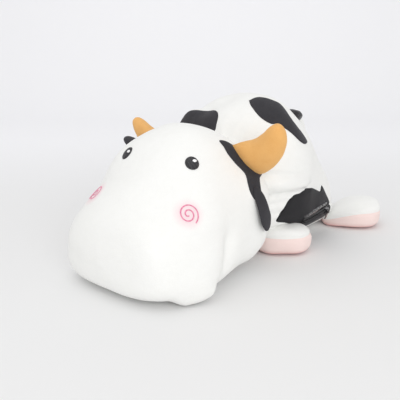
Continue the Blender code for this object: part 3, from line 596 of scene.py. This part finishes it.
def setAlong(tree, line, spacing, bead, tangentFirst, lean, sizes):
    # one bead after another, each facing along or out from the path and leaning a little
    even = addNode(tree, "GeometryNodeResampleCurve", {"Curve": line, "Length": spacing}, mode="LENGTH")
    stored = addNode(tree, "GeometryNodeInputNamedAttribute", {"Name": "outward"}, data_type="FLOAT_VECTOR")
    ways = [stored["Attribute"], addNode(tree, "GeometryNodeInputTangent")["Tangent"]]
    first, second = reversed(ways) if tangentFirst else ways
    facing = addNode(tree, "FunctionNodeAxesToRotation", {"Primary Axis": first, "Secondary Axis": second},
                     primary_axis="Z", secondary_axis="X")
    leanTurn = addNode(tree, "FunctionNodeEulerToRotation", {"Euler": together(tree, **lean)})
    turns = {"Rotation": facing["Rotation"], "Rotate By": leanTurn["Rotation"]}
    turned = addNode(tree, "FunctionNodeRotateRotation", turns, rotation_space="LOCAL")
    places = {"Points": even["Curve"], "Instance": bead, "Rotation": turned["Rotation"], **sizes}
    return addNode(tree, "GeometryNodeInstanceOnPoints", places)["Instances"]


def stitchTree(name, material):
    tree, given, line = startTree(name, ("Spacing", "Stitch Length", "Thread Thickness", "Slant"), "Stitches")
    thick = given["Thread Thickness"]
    sizes = {"Scale": together(tree, X=given["Stitch Length"], Y=thick, Z=thick)}
    bead = addNode(tree, "GeometryNodeMeshUVSphere", {"Segments": 6, "Rings": 5, "Radius": 0.5})
    placed = setAlong(tree, line, given["Spacing"], smoothed(tree, bead["Mesh"]), False, {"Z": given["Slant"]}, sizes)
    return endTree(tree, placed, material, "Stitches")


def coilTree(name, material):
    # a nylon zip's coil: one tilted loop of wire after another
    tree, given, line = startTree(name, ("Pitch", "Loop Width", "Loop Height", "Wire Thickness", "Lean"), "Coil")
    ring = addNode(tree, "GeometryNodeCurvePrimitiveCircle", {"Resolution": 12, "Radius": 0.5})
    sized = together(tree, X=given["Loop Height"], Y=given["Loop Width"], Z=1.0)
    shaped = addNode(tree, "GeometryNodeTransform", {"Geometry": ring["Curve"], "Scale": sized})
    loop = roundWire(tree, shaped["Geometry"], given["Wire Thickness"], False)
    placed = setAlong(tree, line, given["Pitch"], loop, True, {"X": given["Lean"]}, {})
    return endTree(tree, placed, material, "Coil")


def cordTree(name, material):
    # lays a round thread along every line of a drawing
    tree, given, line = startTree(name, ("Thread Thickness",), "Threads")
    return endTree(tree, roundWire(tree, line, given["Thread Thickness"], True), material, "Threads")


def runTree(name, tree, lines, outward, sizes, closed=False):
    # lines: lists of points; outward: a direction for each point
    points, edges = [], []
    for line in lines:
        first = len(points)
        points += [tuple(spot) for spot in line]
        edges += [(first + k, first + k + 1) for k in range(len(line) - 1)]
        if closed:
            edges.append((first + len(line) - 1, first))
    mesh = bpy.data.meshes.new(name + "Path")
    mesh.from_pydata(points, edges, [])
    stored = mesh.attributes.new("outward", "FLOAT_VECTOR", "POINT")
    stored.data.foreach_set("vector", np.array([tuple(v) for v in outward], np.float32).ravel())
    guide = linked(name + "Path", mesh)
    step = guide.modifiers.new("nodes", "NODES")
    step.node_group = tree
    sockets = {item.name: item.identifier for item in tree.interface.items_tree
               if item.item_type == "SOCKET" and item.in_out == "INPUT"}
    for label, value in sizes.items():
        step[sockets[label]] = value
    bpy.context.view_layer.update()
    graph = bpy.context.evaluated_depsgraph_get()
    baked = bpy.data.meshes.new_from_object(guide.evaluated_get(graph))
    bpy.data.objects.remove(guide, do_unlink=True)
    baked.name = name
    return linked(name, baked)


def sewn(piece, slot, nodes=(), hinge=None):
    # a piece in place of its nodes, which are hidden: it stays with the head and body, or, given a hinge, keeps its
    # place with its transform baked in
    if nodes:
        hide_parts(*nodes)
    if hinge:
        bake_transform(piece)
    else:
        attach(piece, root)


# Black patches of the body
bloom = {"pile": 0.0011, "sheenRoughness": 0.4, "sheenHex": "#a5a4aa"}
blackPlush = plushMaterial(   # the same plush dyed black: the pile's tips catch a grey bloom
    "shortPilePolyesterPlushBlack", "#3a393d", "#2b2a2e", roughness=0.82, sheen=0.3, specular=0.3, **bloom)
blackPlushPaintedShade = plushMaterial(   # painted shade: a darker copy of the black plush for the flank patch, which faces away from the light; a flatter pile
    "shortPilePolyesterPlushBlackPaintedShade", "#1d1c20", "#131215", lift=0.0003, roughness=0.7, sheen=0.15, specular=0.35, **bloom)
blackThread = threadMaterial(   # spun polyester sewing thread: a low gloss along the strand
    "spunPolyesterThreadBlack", "#3c3b3f", "#232225", roughness=0.55, sheen=0.2, sheenRoughness=0.4, specular=0.4)
spotSettings = {"rings": 16, "corners": 150, "low": 0.0002, "high": 0.0014, "edge": 0.045,
                "stitches": (0.955, 0.0011), "names": ("blackPatch", "patchStitches"), "node": "spot_", "fold": {}}
spotCorners = {
    "front": [(965, 94.5), (932, 93.8), (906, 94.6), (885, 97.6), (872, 102), (864, 108), (853, 117), (845, 128),
        (852, 143), (868, 156), (900, 161), (937, 148), (965, 128), (980, 107)],
    "top": [(817, 79.3), (810, 79.4), (778, 77.5), (761, 73), (749, 67), (732, 61), (732, 55), (745, 46.7),
        (744, 39.6), (754, 34.2), (742, 29.2), (706, 25.2), (690, 24), (700, 22.4), (741, 21.6), (779, 26.6),
        (815, 38.5), (828, 46), (851, 50.5), (858, 61.5), (839, 73.5)],
    "flank": [(863, -26.6), (849, -13.8), (820, -6.7), (763, -5.2), (678, -3), (603, -3.3), (550, -3.9),
        (531, -2), (511, -1.5), (465, -4.6), (400, -11), (380, -20.3), (385, -31), (420, -43), (500, -50),
        (600, -49), (690, -43), (740, -37), (805, -31.5)],
    "far_flank": [(516, 180), (535, 170), (594, 167), (666, 174), (720, 173), (774, 180), (787, 185), (726, 190),
        (654, 185), (582, 186)],
    "rump": [(424, 103), (472, 101), (517, 113), (547, 131), (535, 147), (480, 147), (438, 132), (407, 118)],
}
sewing = {"Spacing": 0.003, "Stitch Length": 0.0021, "Thread Thickness": 0.0006, "Slant": 0.0}
blackSewing = stitchTree("blackRunningStitch", blackThread)


def sewnPatch(word, lay, corners, settings, cloth=blackPlush, clear=None):
    # a patch, and the running stitch along its rim
    names = [name + "".join(part.title() for part in word.split("_")) for name in settings["names"]]
    outline = closedCurve(corners, settings["corners"])
    fold = settings["fold"].get(word, (0, 0, 1, 1, 0))
    patch = clothPatch(names[0], lay, outline, settings, cloth, clear, fold)
    sewn(patch, "black_plush", [settings["node"] + word])
    share, height = settings["stitches"]
    inner = shrunk(outline, share)
    outward = [(lay(p, q, 0.01) - lay(p, q, 0.0)).normalized() for p, q in inner]
    rim = runTree(names[1], blackSewing, [[lay(p, q, height) for p, q in inner]], outward, sewing, closed=True)
    sewn(rim, "black_plush")


bodyLay = roundLay(bodyPoint, bodySkin, whole["bodyHeight"] / 2)
# the flank patch is cut from the darker copy with painted shade
for word, corners in spotCorners.items():
    sewnPatch(word, bodyLay, corners, spotSettings, *((blackPlushPaintedShade, zipLine) if word == "flank" else ()))
print("body patches ready")

# Root patches, eyes and cheeks
rootCorners = [(712, 54), (703, 46), (699, 39), (712, 31), (738, 23), (735, 15), (737, 9), (753, 4), (782, 2),
               (800, 5), (806, 12), (824, 21), (872, 27), (890, 33), (872, 42), (830, 46), (775, 50)]
rootSettings = {"rings": 14, "corners": 130, "low": 0.0002, "high": 0.0012, "edge": 0.07, "stitches": (0.95, 0.001),
                "names": ("rootPatch", "rootStitches"), "node": "root_patch_",
                "fold": {"left": (0.735, 45, 0.024, 10, 0.0025), "right": (0.738, 46, 0.026, 11, 0.009)}}
for word, side in sides.items():
    sewnPatch(word, roundLay(headPoint, headSkin, whole["headHeight"] / 2, side), rootCorners, rootSettings)

# The soft face lies turned a little to its left: how far out and up each eye and cheek sits
eyes = {"left": (0.536, 0.791), "right": (0.335, 0.812), "narrow": {"left": 1.0, "right": 0.76},
        "width": 0.0184, "height": 0.02, "rise": 0.0022, "rowGap": 0.00042, "thread": 0.00056,
        "glint": (0.0034, 0.0022), "glintWidth": 0.0052, "glintHeight": 0.004, "glintRise": 0.0006}
eyeThread = threadMaterial(   # trilobal polyester embroidery thread: satin rows with a soft gloss
    "trilobalEmbroideryThreadBlack", "#343336", "#232225", roughness=0.42, sheen=0.15, specular=0.5)
eyeWhiteThread = threadMaterial("trilobalEmbroideryThreadWhite", "#ffffff", "#f1f0f0", roughness=0.4, specular=0.5)
blackSatin = cordTree("blackSatinRows", eyeThread)
whiteSatin = cordTree("whiteSatinRows", eyeWhiteThread)


def onHead(start, way):
    spot, normal, _, _ = headSkin.ray_cast(start, way)
    return spot, faceOut(normal, -way)


def facePlace(side, out, up):
    # a place on the face, in shares of the head's half width and height
    start = Vector((side * out * whole["headWidth"] / 2, headLow.y - 0.3, up * whole["headHeight"]))
    centre, facing = onHead(start, Vector((0, 1, 0)))
    return centre, facing, flatLay(headSkin, centre, facing)


def satinOval(name, lay, middle, width, height, low, rise, tree):
    # rows of thread across an oval, a little higher in its middle
    lines = []
    rows = int(height / eyes["rowGap"])
    for k in range(rows + 1):
        v = -1 + 2 * (k + 0.5) / (rows + 1)
        half = sqrt(1 - v * v) * width / 2 + 0.00018 * sin(k * 2.4)
        line = []
        for i in range(13):
            u = -1 + i / 6
            dome = sqrt(max(1 - v * v, 0)) * (1 - u ** 4)
            line.append(lay(middle[0] + u * half, middle[1] + v * height / 2, low + rise * dome))
        lines.append(line)
    outward = [Vector((0, 0, 1))] * sum(len(line) for line in lines)
    return runTree(name, tree, lines, outward, {"Thread Thickness": eyes["thread"]})


for word, side in sides.items():
    lay = facePlace(side, *eyes[word])[2]
    eye = satinOval("eye" + word.title(), lay, (0, 0), eyes["width"] * eyes["narrow"][word], eyes["height"],
                    0.0001, eyes["rise"], blackSatin)
    sewn(eye, "eye_cloth", ["eye_" + word])
    glint = satinOval("eyeGlint" + word.title(), lay, eyes["glint"], eyes["glintWidth"], eyes["glintHeight"],
                      eyes["rise"] + 0.0001, eyes["glintRise"], whiteSatin)
    sewn(glint, "highlight_cloth", ["highlight_" + word])

cheeks = {"left": (0.766, 0.536), "right": (0.505, 0.574), "radius": 0.0146, "narrow": 0.93, "core": 0.14,
          "turns": 1.95, "start": -55, "steps": 120, "blushReach": 0.024,
          "stitch": {"Spacing": 0.0005, "Stitch Length": 0.0021, "Thread Thickness": 0.00062, "Slant": 1.25}}
pinkThread = threadMaterial("trilobalEmbroideryThreadPink", "#f297b6", "#e680a4", roughness=0.45, sheen=0.2,
                            specular=0.45)
pinkSatin = stitchTree("pinkSatinStitch", pinkThread)
blush = []
for word, side in sides.items():
    centre, facing, lay = facePlace(side, *cheeks[word])
    blush.append((tuple(centre), cheeks["blushReach"], "#ffeaef"))
    line = []
    for k in range(cheeks["steps"] + 1):
        share = k / cheeks["steps"]
        angle = radians(cheeks["start"]) + tau * cheeks["turns"] * share
        reach = cheeks["radius"] * (1 - share * (1 - cheeks["core"]))
        line.append(lay(side * reach * cheeks["narrow"] * cos(angle), reach * sin(angle), 0.0003))
    spiral = runTree("cheekSpiral" + word.title(), pinkSatin, [line], [facing] * len(line), cheeks["stitch"])
    sewn(spiral, "pink_thread", ["cheek_spiral_" + word])
# the head's white plush is airbrushed pink round each spiral
headCover.data.materials[0] = plushMaterial("shortPilePolyesterPlushBlushed", blush=blush, **whiteDye)
print("face ready")


# Curved forms: horns, ears and tail
def spin(degrees, axis):
    return Matrix.Rotation(radians(degrees), 4, axis)


def wayOf(degrees):
    return Vector((cos(radians(degrees)), 0, sin(radians(degrees))))


def curvedForm(rows, piece):
    bend, begin = radians(piece["turn"]), radians(piece["start"])
    radius = piece["length"] / bend

    def point(t, angle):
        along, wide, thick = rowsAt(rows, t)
        heading = begin + bend * along
        middle = Vector((sin(heading) - sin(begin), 0, cos(begin) - cos(heading)))
        across = Vector((-sin(heading), 0, cos(heading)))
        return (middle * radius + across * (wide * piece["wide"] / 2 * sin(angle))
                + Vector((0, thick * piece["thick"] / 2 * cos(angle), 0)))
    return point


def headSide(side, piece):
    # the place on the head's side at the piece's shares of its length and height
    return onHead(Vector((side * (whole["headWidth"] / 2 + 0.3), headLow.y + piece["along"] * headLength,
                          piece["rise"] * whole["headHeight"])), Vector((-side, 0, 0)))


hornRows = [(0, 0.99, 0.52), (0.25, 1.04, 0.86), (0.5, 0.86, 0.94), (0.72, 0.67, 0.78), (0.88, 0.46, 0.62),
    (0.97, 0.24, 0.36), (1, 0, 0)]
horns = {"length": 0.103, "wide": 0.0533, "thick": 0.0355, "sunk": 0.016, "rise": 0.751, "along": 0.853,
         "start": 10.6, "turn": 75.5, "rings": 70, "around": 96, "lump": 0.0009,
         "left": {"lean": 3.4, "sweep": 13.4, "twist": 29}, "right": {"lean": 23, "sweep": 25, "twist": 10}}
tanPlush = plushMaterial(   # tan velour: a shorter, denser pile than the body's
    "shearedVelourTan", "#efbb76", "#e3a65d", pile=0.0009, brushed=0.01, lift=0.0003, roughness=0.88, sheen=0.25,
    sheenHex="#ffe6c2", specular=0.25)
hornPoint = curvedForm(hornRows, horns)
for word, side in sides.items():
    own, n = horns[word], horns["around"]
    outward = wayOf(horns["start"])
    outward.x *= side
    inside = Vector((side * 0.62 * whole["headWidth"] / 2, headLow.y + horns["along"] * headLength,
                     horns["rise"] * whole["headHeight"]))
    spot = onHead(inside + outward * 0.3, -outward)[0]
    place = (Matrix.Translation(spot - outward * horns["sunk"]) @ spin(side * own["lean"], "Y")
             @ spin(side * own["sweep"], "Z") @ Matrix.Diagonal((side, 1, 1, 1)) @ spin(own["twist"], "X"))
    spots, _ = tubeOf(hornPoint, horns["rings"], n, place)
    spots = np.vstack([np.repeat([spots[:n].mean(axis=0)], n, axis=0), spots])   # its root is closed
    faces = ringFaces(horns["rings"] + 1, n)
    relief = lumps(spots, 0.03, horns["lump"], 2.0 + side) + lumps(spots, 0.01, 0.0003, 4.0)
    spots = raised(spots, faces, relief)
    horn = putMesh("horn" + word.title(), spots, faces, tanPlush)
    sewn(horn, "tan_plush", ["horn_" + word + "_cover", "horn_" + word + "_filling"])

earRows = [(0, 0, 0), (0.03, 0.42, 0.22), (0.13, 0.54, 0.44), (0.32, 0.7, 0.68), (0.58, 0.9, 0.84),
    (0.74, 0.88, 0.9), (0.88, 0.6, 0.68), (0.96, 0.32, 0.42), (1, 0, 0)]
ears = {"length": 0.068, "thick": 0.0325, "wide": 0.0056, "sunk": 0.002, "rise": 0.605, "along": 0.806, "yaw": 8,
        "slant": 11, "start": -58, "turn": -30, "rings": 70, "around": 72, "blend": 0.014, "clear": 0.0004,
        "smoothing": (40, 20, 6)}
earPoint = curvedForm(earRows, ears)


def drapedEar(spots):
    # the flap lies on the head and keeps its thickness
    laid = spots.copy()
    for k in range(ears["around"], len(spots)):
        ring, j = divmod(k, ears["around"])
        thickness = rowsAt(earRows, ring / ears["rings"])[1] * ears["wide"]
        least = ears["clear"] + thickness / 2 * (1 + sin(tau * j / ears["around"]))
        near, facing, _, _ = headSkin.find_nearest(Vector(spots[k]))
        facing = faceOut(facing, near - Vector((0, near.y, 0.1)))
        if facing.dot(Vector(spots[k]) - near) < least:
            laid[k] = near + facing * least
    return laid


for word, side in sides.items():
    spot, normal = headSide(side, ears)
    place = (Matrix.Translation(spot - normal * ears["sunk"]) @ Matrix.Diagonal((side, 1, 1, 1))
             @ spin(ears["yaw"], "Z") @ spin(ears["slant"], "X"))
    spots, faces = tubeOf(earPoint, ears["rings"], ears["around"], place)
    spots = raised(spots, faces, lumps(spots, 0.028, 0.0008, 6.0 + side))
    for smoothing in ears["smoothing"]:
        shift = (drapedEar(spots) - spots).reshape(ears["rings"] + 1, ears["around"], 3)
        for _ in range(smoothing):
            shift[1:-1] = (shift[:-2] + 2 * shift[1:-1] + shift[2:]) / 4
        spots = spots + shift.reshape(-1, 3)
    ear = putMesh("ear" + word.title(), spots, faces, blackPlush)
    bent = spot + place.to_3x3() @ wayOf(ears["start"]) * ears["blend"]
    sewn(ear, "black_plush", ["ear_" + word], ("ear_" + word, spot, bent))

# The far ear's top corner is folded out in front of the horn
foldRows = [(0, 0, 0), (0.04, 0.6, 0.8), (0.3, 1, 1), (0.62, 1, 0.98), (0.84, 0.74, 0.8),
    (0.96, 0.36, 0.44), (1, 0, 0)]
earFold = {"along": 0.735, "rise": 0.72, "length": 0.064, "thick": 0.028, "wide": 0.013, "start": 13,
           "turn": 14, "sunk": 0.01, "sweep": 6, "lump": 0.0008, "lumpSize": 0.016, "rings": 40,
           "around": 40}
place = (Matrix.Translation(headSide(-1, earFold)[0] + Vector((earFold["sunk"], 0, 0)))
         @ spin(-earFold["sweep"], "Z") @ Matrix.Diagonal((-1, 1, 1, 1)))
spots, faces = tubeOf(curvedForm(foldRows, earFold), earFold["rings"], earFold["around"], place)
spots = raised(spots, faces, lumps(spots, earFold["lumpSize"], earFold["lump"], 5.0))
folded = putMesh("earFoldRight", spots, faces, blackPlush)
sewn(folded, "black_plush")
print("horns and ears ready")

cordRows = [(0, 0, 0), (0.03, 0.62, 0.62), (0.1, 1, 1), (0.35, 0.97, 0.97), (0.62, 0.93, 0.93),
    (0.85, 0.89, 0.89), (0.97, 0.8, 0.8), (1, 0, 0)]
tuftRows = [(0, 0, 0), (0.03, 0.4, 0.45), (0.2, 0.8, 0.85), (0.45, 1, 1), (0.7, 0.86, 0.85),
    (0.9, 0.48, 0.5), (1, 0, 0)]
cord = {"thick": 0.01, "wide": 0.01, "length": 0.087, "rise": 0.47, "start": 37, "turn": 112, "rings": 60,
        "around": 28}
tuft = {"length": 0.046, "start": cord["start"] + cord["turn"], "turn": 34, "wide": 0.019, "thick": 0.032,
        "folds": (0.35, 2.8), "foldDepth": 0.0035, "foldWidth": 0.0035, "rings": 50, "around": 56}
cordPoint, tuftPoint = curvedForm(cordRows, cord), curvedForm(tuftRows, tuft)
start = Vector((0, bodyTop.y + 0.3, cord["rise"] * whole["bodyHeight"]))
spot = bodySkin.ray_cast(start, Vector((0, -1, 0)))[0]
place = Matrix.Translation(spot) @ spin(90, "Z")
spots, faces = tubeOf(cordPoint, cord["rings"], cord["around"], place)
spots = raised(spots, faces, lumps(spots, 0.01, 0.0005, 2.0))
tailCord = putMesh("tailCord", spots, faces, whitePlush)
end = place @ cordPoint(1, 0) - place.to_3x3() @ wayOf(tuft["start"]) * 0.001
tuftPlace = Matrix.Translation(end) @ spin(90, "Z")
spots, faces = tubeOf(tuftPoint, tuft["rings"], tuft["around"], tuftPlace)
relief = lumps(spots, 0.012, 0.0016, 8.0)
for angle in tuft["folds"]:   # a lengthwise fold on each face
    foldLine = [tuple(tuftPlace @ tuftPoint(0.12 + 0.07 * k, angle + 0.02 * k)) for k in range(12)]
    relief += groove(spots, foldLine, tuft["foldDepth"], tuft["foldWidth"], 0.3)
spots = raised(spots, faces, relief)
satinBlack = plushMaterial(   # black panne velvet: flattened pile with bright glints on its folds
    "panneVelvetBlack", "#2c2b2f", "#1b1a1d", pile=0.0016, lift=0.0003, roughness=0.34, sheen=0.3,
    sheenRoughness=0.3, sheenHex="#c9c9d2", specular=0.5)
tailTuft = putMesh("tailTuft", spots, faces, satinBlack)
for piece, slot, node in ((tailCord, "white_plush", "tail_cord"), (tailTuft, "black_plush", "tail_tuft")):
    sewn(piece, slot, [node], ("tail", spot, spot + Vector((0, 0.01, 0.004))))
print("tail ready")

# Paws
pawRows = [
    (0, 0, 0.22, 0.22, 0), (0.02, 0.3, 0.06, 0.32, 0), (0.1, 0.56, 0, 0.45, 0),
    (0.28, 0.82, 0, 0.7, 0), (0.52, 1, 0, 0.94, 0), (0.76, 0.96, 0, 1, 0),
    (0.92, 0.68, 0.07, 0.945, 0), (0.985, 0.34, 0.27, 0.84, 0), (1, 0, 0.62, 0.62, 0),
]
paws = {"length": 0.104, "width": 0.094, "height": 0.049, "rings": 90, "around": 56, "seam": 12.86,
        "seamDepth": 0.0022, "seamWidth": 0.003, "seamFade": 0.02, "lump": 0.0012, "lumpSize": 0.03,
        "lumpFade": 0.005, "blend": 0.03}
# pale pink plush with painted shade: darker and redder towards the bottom, where the sole meets the floor
pinkPlushShadedBelow, tree = startMaterial("shortPilePolyesterPlushPinkShadedBelow")
_, tips, swirls = pileAt(tree, 0.0012, 0.008)
rise = addNode(tree, "ShaderNodeSeparateXYZ", {"Vector": objectPlace(tree)})["Z"]
# painted shade: the colour darkens over the lowest 13 mm above the floor
fac = mathNode(tree, "MULTIPLY_ADD", tips, 0.25, softRange(tree, rise, 0.001, 0.013, 0.0, 0.75))
endPlush(tree, ramp(tree, fac, [(0.05, "#dea2a0"), (0.45, "#f1d2cd"), (0.95, "#f7e3de")]), tips, swirls, 0.0004,
         roughness=0.92, sheen=0.25, specular=0.25)
pawPoint = lyingForm(pawRows, paws["length"], paws["width"], paws["height"])
shares = [k / paws["rings"] for k in range(paws["rings"] + 1)]
seam = radians(paws["seam"])
n = paws["around"]
for leg, (word, side) in [(leg, item) for leg in ("front_leg", "rear_leg") for item in sides.items()]:
    node = leg + "_" + word
    joint = joints[node + "_droop"]
    pawRoot = Vector(joint["pos_m"])
    along = Vector(joint["axis"]).cross(Vector((0, 0, 1))).normalized()   # the paw points square to its hinge
    place = Matrix.Translation(pawRoot) @ Matrix.Rotation(atan2(along.y, along.x) - pi / 2, 4, "Z")
    for part, first, last, cloth, slot, nodes in (
            ("Top", seam, pi - seam, whitePlush, "white_plush", (node + "_top", node + "_filling")),
            ("Sole", pi - seam, tau + seam, pinkPlushShadedBelow, "pink_plush", (node + "_sole",))):
        angles = [first + (last - first) * (1 - cos(pi * j / n)) / 2 for j in range(n + 1)]
        spots, faces = gridOf(pawPoint, shares, angles, place)
        rows = spots.reshape(len(shares), n + 1, 3)
        ends = rows[:, :1], rows[:, -1:]
        gap = np.minimum(*(np.linalg.norm(rows - end, axis=2) for end in ends))
        # the seam draws the cloth in
        pull = (paws["seamDepth"] * np.exp(-(gap / paws["seamWidth"]) ** 2)
                * np.clip(np.linalg.norm(ends[0] - ends[1], axis=2) / paws["seamFade"], 0, 1))
        inward = (ends[0] + ends[1]) / 2 - rows
        inward = inward / np.maximum(np.linalg.norm(inward, axis=2, keepdims=True), 1e-6)
        relief = lumps(spots, paws["lumpSize"], paws["lump"], 3.0 + side + pawRoot.y * 20)
        relief *= 1 - np.exp(-(gap.ravel() / paws["lumpFade"]) ** 2)
        spots = raised(spots, faces, relief) + (inward * pull[:, :, None]).reshape(-1, 3)
        offFloor(spots)
        paw = putMesh(leg.replace("_leg", "Paw") + word.title() + part, spots, faces, cloth)
        sewn(paw, slot, nodes, (node, pawRoot, pawRoot + along * paws["blend"]))
print("paws ready")

# Zip
zipSizes = {"Pitch": 0.00125, "Loop Width": 0.003, "Loop Height": 0.0026, "Wire Thickness": 0.00075, "Lean": 0.16}
nylon = grainMaterial(   # polished nylon wire: bright thin glints
    "extrudedNylonCoilBlack", 0.0012, [(0.3, "#141416"), (0.7, "#232327")], 0.15, 0.0001, roughness=0.22, ior=1.53,
    specular=0.6)
webbing = wovenMaterial(   # herringbone zip tape
    "wovenPolyesterTapeBlack", 0.0007, 0.4, 2.0, [(0.2, "#18181a"), (0.8, "#2d2c30")], 0.6, 0.0002, roughness=0.6,
    sheen=0.2, specular=0.4)
enamel = grainMaterial(   # die-cast zinc slider under glossy black enamel
    "enamelledZincBlack", 0.0025, [(0.3, "#1a1a1c"), (0.7, "#29292c")], 0.1, 0.0001, roughness=0.25, coat=0.5,
    coatRoughness=0.12)
bearings = [zipBearing(k, 80) for k in range(81)]
coil = runTree("zipCoil", coilTree("nylonCoil", nylon), [[zipPlace(coilReach, coilRise, b) for b in bearings]],
               [zipOut(b) for b in bearings], zipSizes)
sewn(coil, "black_nylon", ["zip_coil"])
for node in ("zip_tape", "zip_slider", "zip_pull"):
    frame["nodes"][node].data.materials.clear()
    frame["nodes"][node].data.materials.append(webbing if node == "zip_tape" else enamel)
satinPiping = plushMaterial(   # polyester satin rolled over a cord: long bright glints along its folds
    "satinPolyesterPipingBlack", "#232226", "#111013", pile=0.003, brushed=0.012, lift=0.0002, roughness=0.2,
    specular=0.8, coat=0.5, coatRoughness=0.12)
welt = {"above": 0.009, "radius": 0.0034, "flat": 0.8, "lie": 0.0008, "past": 0.02, "probe": 0.03, "rings": 90,
        "around": 16, "lump": 0.0011, "lumpSize": 0.007, "stretch": (1, 1, 0.4)}
spots = []
for k in range(welt["rings"] + 1):
    share = k / welt["rings"]
    bearing = zipBearing(share * (1 + 2 * welt["past"]) - welt["past"], 1)   # a little past both ends
    outward = zipOut(bearing)
    start = zipPlace(coilReach + welt["probe"], coilRise + welt["above"], bearing)
    met = bodySkin.ray_cast(start, -outward, 0.08)[0] or start - outward * welt["probe"]
    middle = met + outward * welt["lie"]
    reach = welt["radius"] * max(1 - abs(2 * share - 1) ** 5, 0) ** 0.5
    for j in range(welt["around"]):
        angle = tau * j / welt["around"]
        rise = Vector((0, 0, reach * sin(angle)))
        spots.append(middle + outward * reach * welt["flat"] * cos(angle) + rise)
spots = np.array(spots)
faces = ringFaces(welt["rings"], welt["around"])
spots = raised(spots, faces, lumps(spots * welt["stretch"], welt["lumpSize"], welt["lump"], 7.0))
rolled = putMesh("zipRolledEdge", spots, faces, satinPiping)
sewn(rolled, "black_plush")
print("zip ready")

for cover in (headCover, bodyCover):
    sewn(cover, "white_plush")

# Floor, backdrop and light
studio = {"floor": "#eeeeee", "back": "#fafafc", "near": 0.1, "far": 1.1, "world": 0.715, "key": 9.0, "keySize": 2.2,
          "fill": 25.0, "fillSize": 1.6, "backPower": 3.0, "backSize": 2.0, "front": -3.0, "bend": 1.6,
          "radius": 0.8, "top": 4.0, "half": 4}
paper, tree = startMaterial("seamlessPaperWhite")
grain = noiseAt(tree, objectPlace(tree), 0.02)
away = addNode(tree, "ShaderNodeVectorMath", {0: objectPlace(tree), 1: (-sin(turn), cos(turn), 0.6)},
               operation="DOT_PRODUCT")["Value"]
pale = softRange(tree, away, studio["near"], studio["far"])
endMaterial(tree, ramp(tree, pale, [(0.0, studio["floor"]), (1.0, studio["back"])]),
            bumped(tree, grain, 0.02, 0.0002), roughness=0.8, specular=0.2)
bend, radius = studio["bend"], studio["radius"]
curve = [(bend + radius * sin(a), radius - radius * cos(a))
         for a in (pi / 2 * k / 16 for k in range(1, 17))]
profile = [(studio["front"], 0.0), (bend, 0.0)] + curve + [(bend + radius, studio["top"])]
backTurn = Matrix.Rotation(radians(photoView["azimuth"]), 4, "Z")
spots = [backTurn @ Vector((x, y, z)) for y, z in profile for x in (-studio["half"], studio["half"])]
faces = [(2 * k, 2 * k + 1, 2 * k + 3, 2 * k + 2) for k in range(len(profile) - 1)]
floor = putMesh("floor", spots, faces, paper)
world = bpy.data.worlds.new("studio")
world.use_nodes = True
scene.world = world
background = world.node_tree.nodes["Background"].inputs
background["Color"].default_value = (1, 1, 1, 1)
background["Strength"].default_value = studio["world"]


def softbox(name, place, aim, size, power):
    lamp = bpy.data.lights.new(name, "AREA")
    lamp.shape = "SQUARE"
    lamp.size = size
    lamp.energy = power
    aimed(linked(name, lamp), place, Vector(aim) - Vector(place))


softbox("keyLight", (-0.4, -0.9, 2.1), (0, 0, 0.1), studio["keySize"], studio["key"])
softbox("fillLight", (2.2, -1.6, 1.05), (0, 0, 0.08), studio["fillSize"], studio["fill"])
softbox("backdropLight", (-0.9, 1.1, 2.2), (-1.8, 2.2, 0.6), studio["backSize"], studio["backPower"])
scene.view_settings.view_transform = "Standard"
print("studio ready")
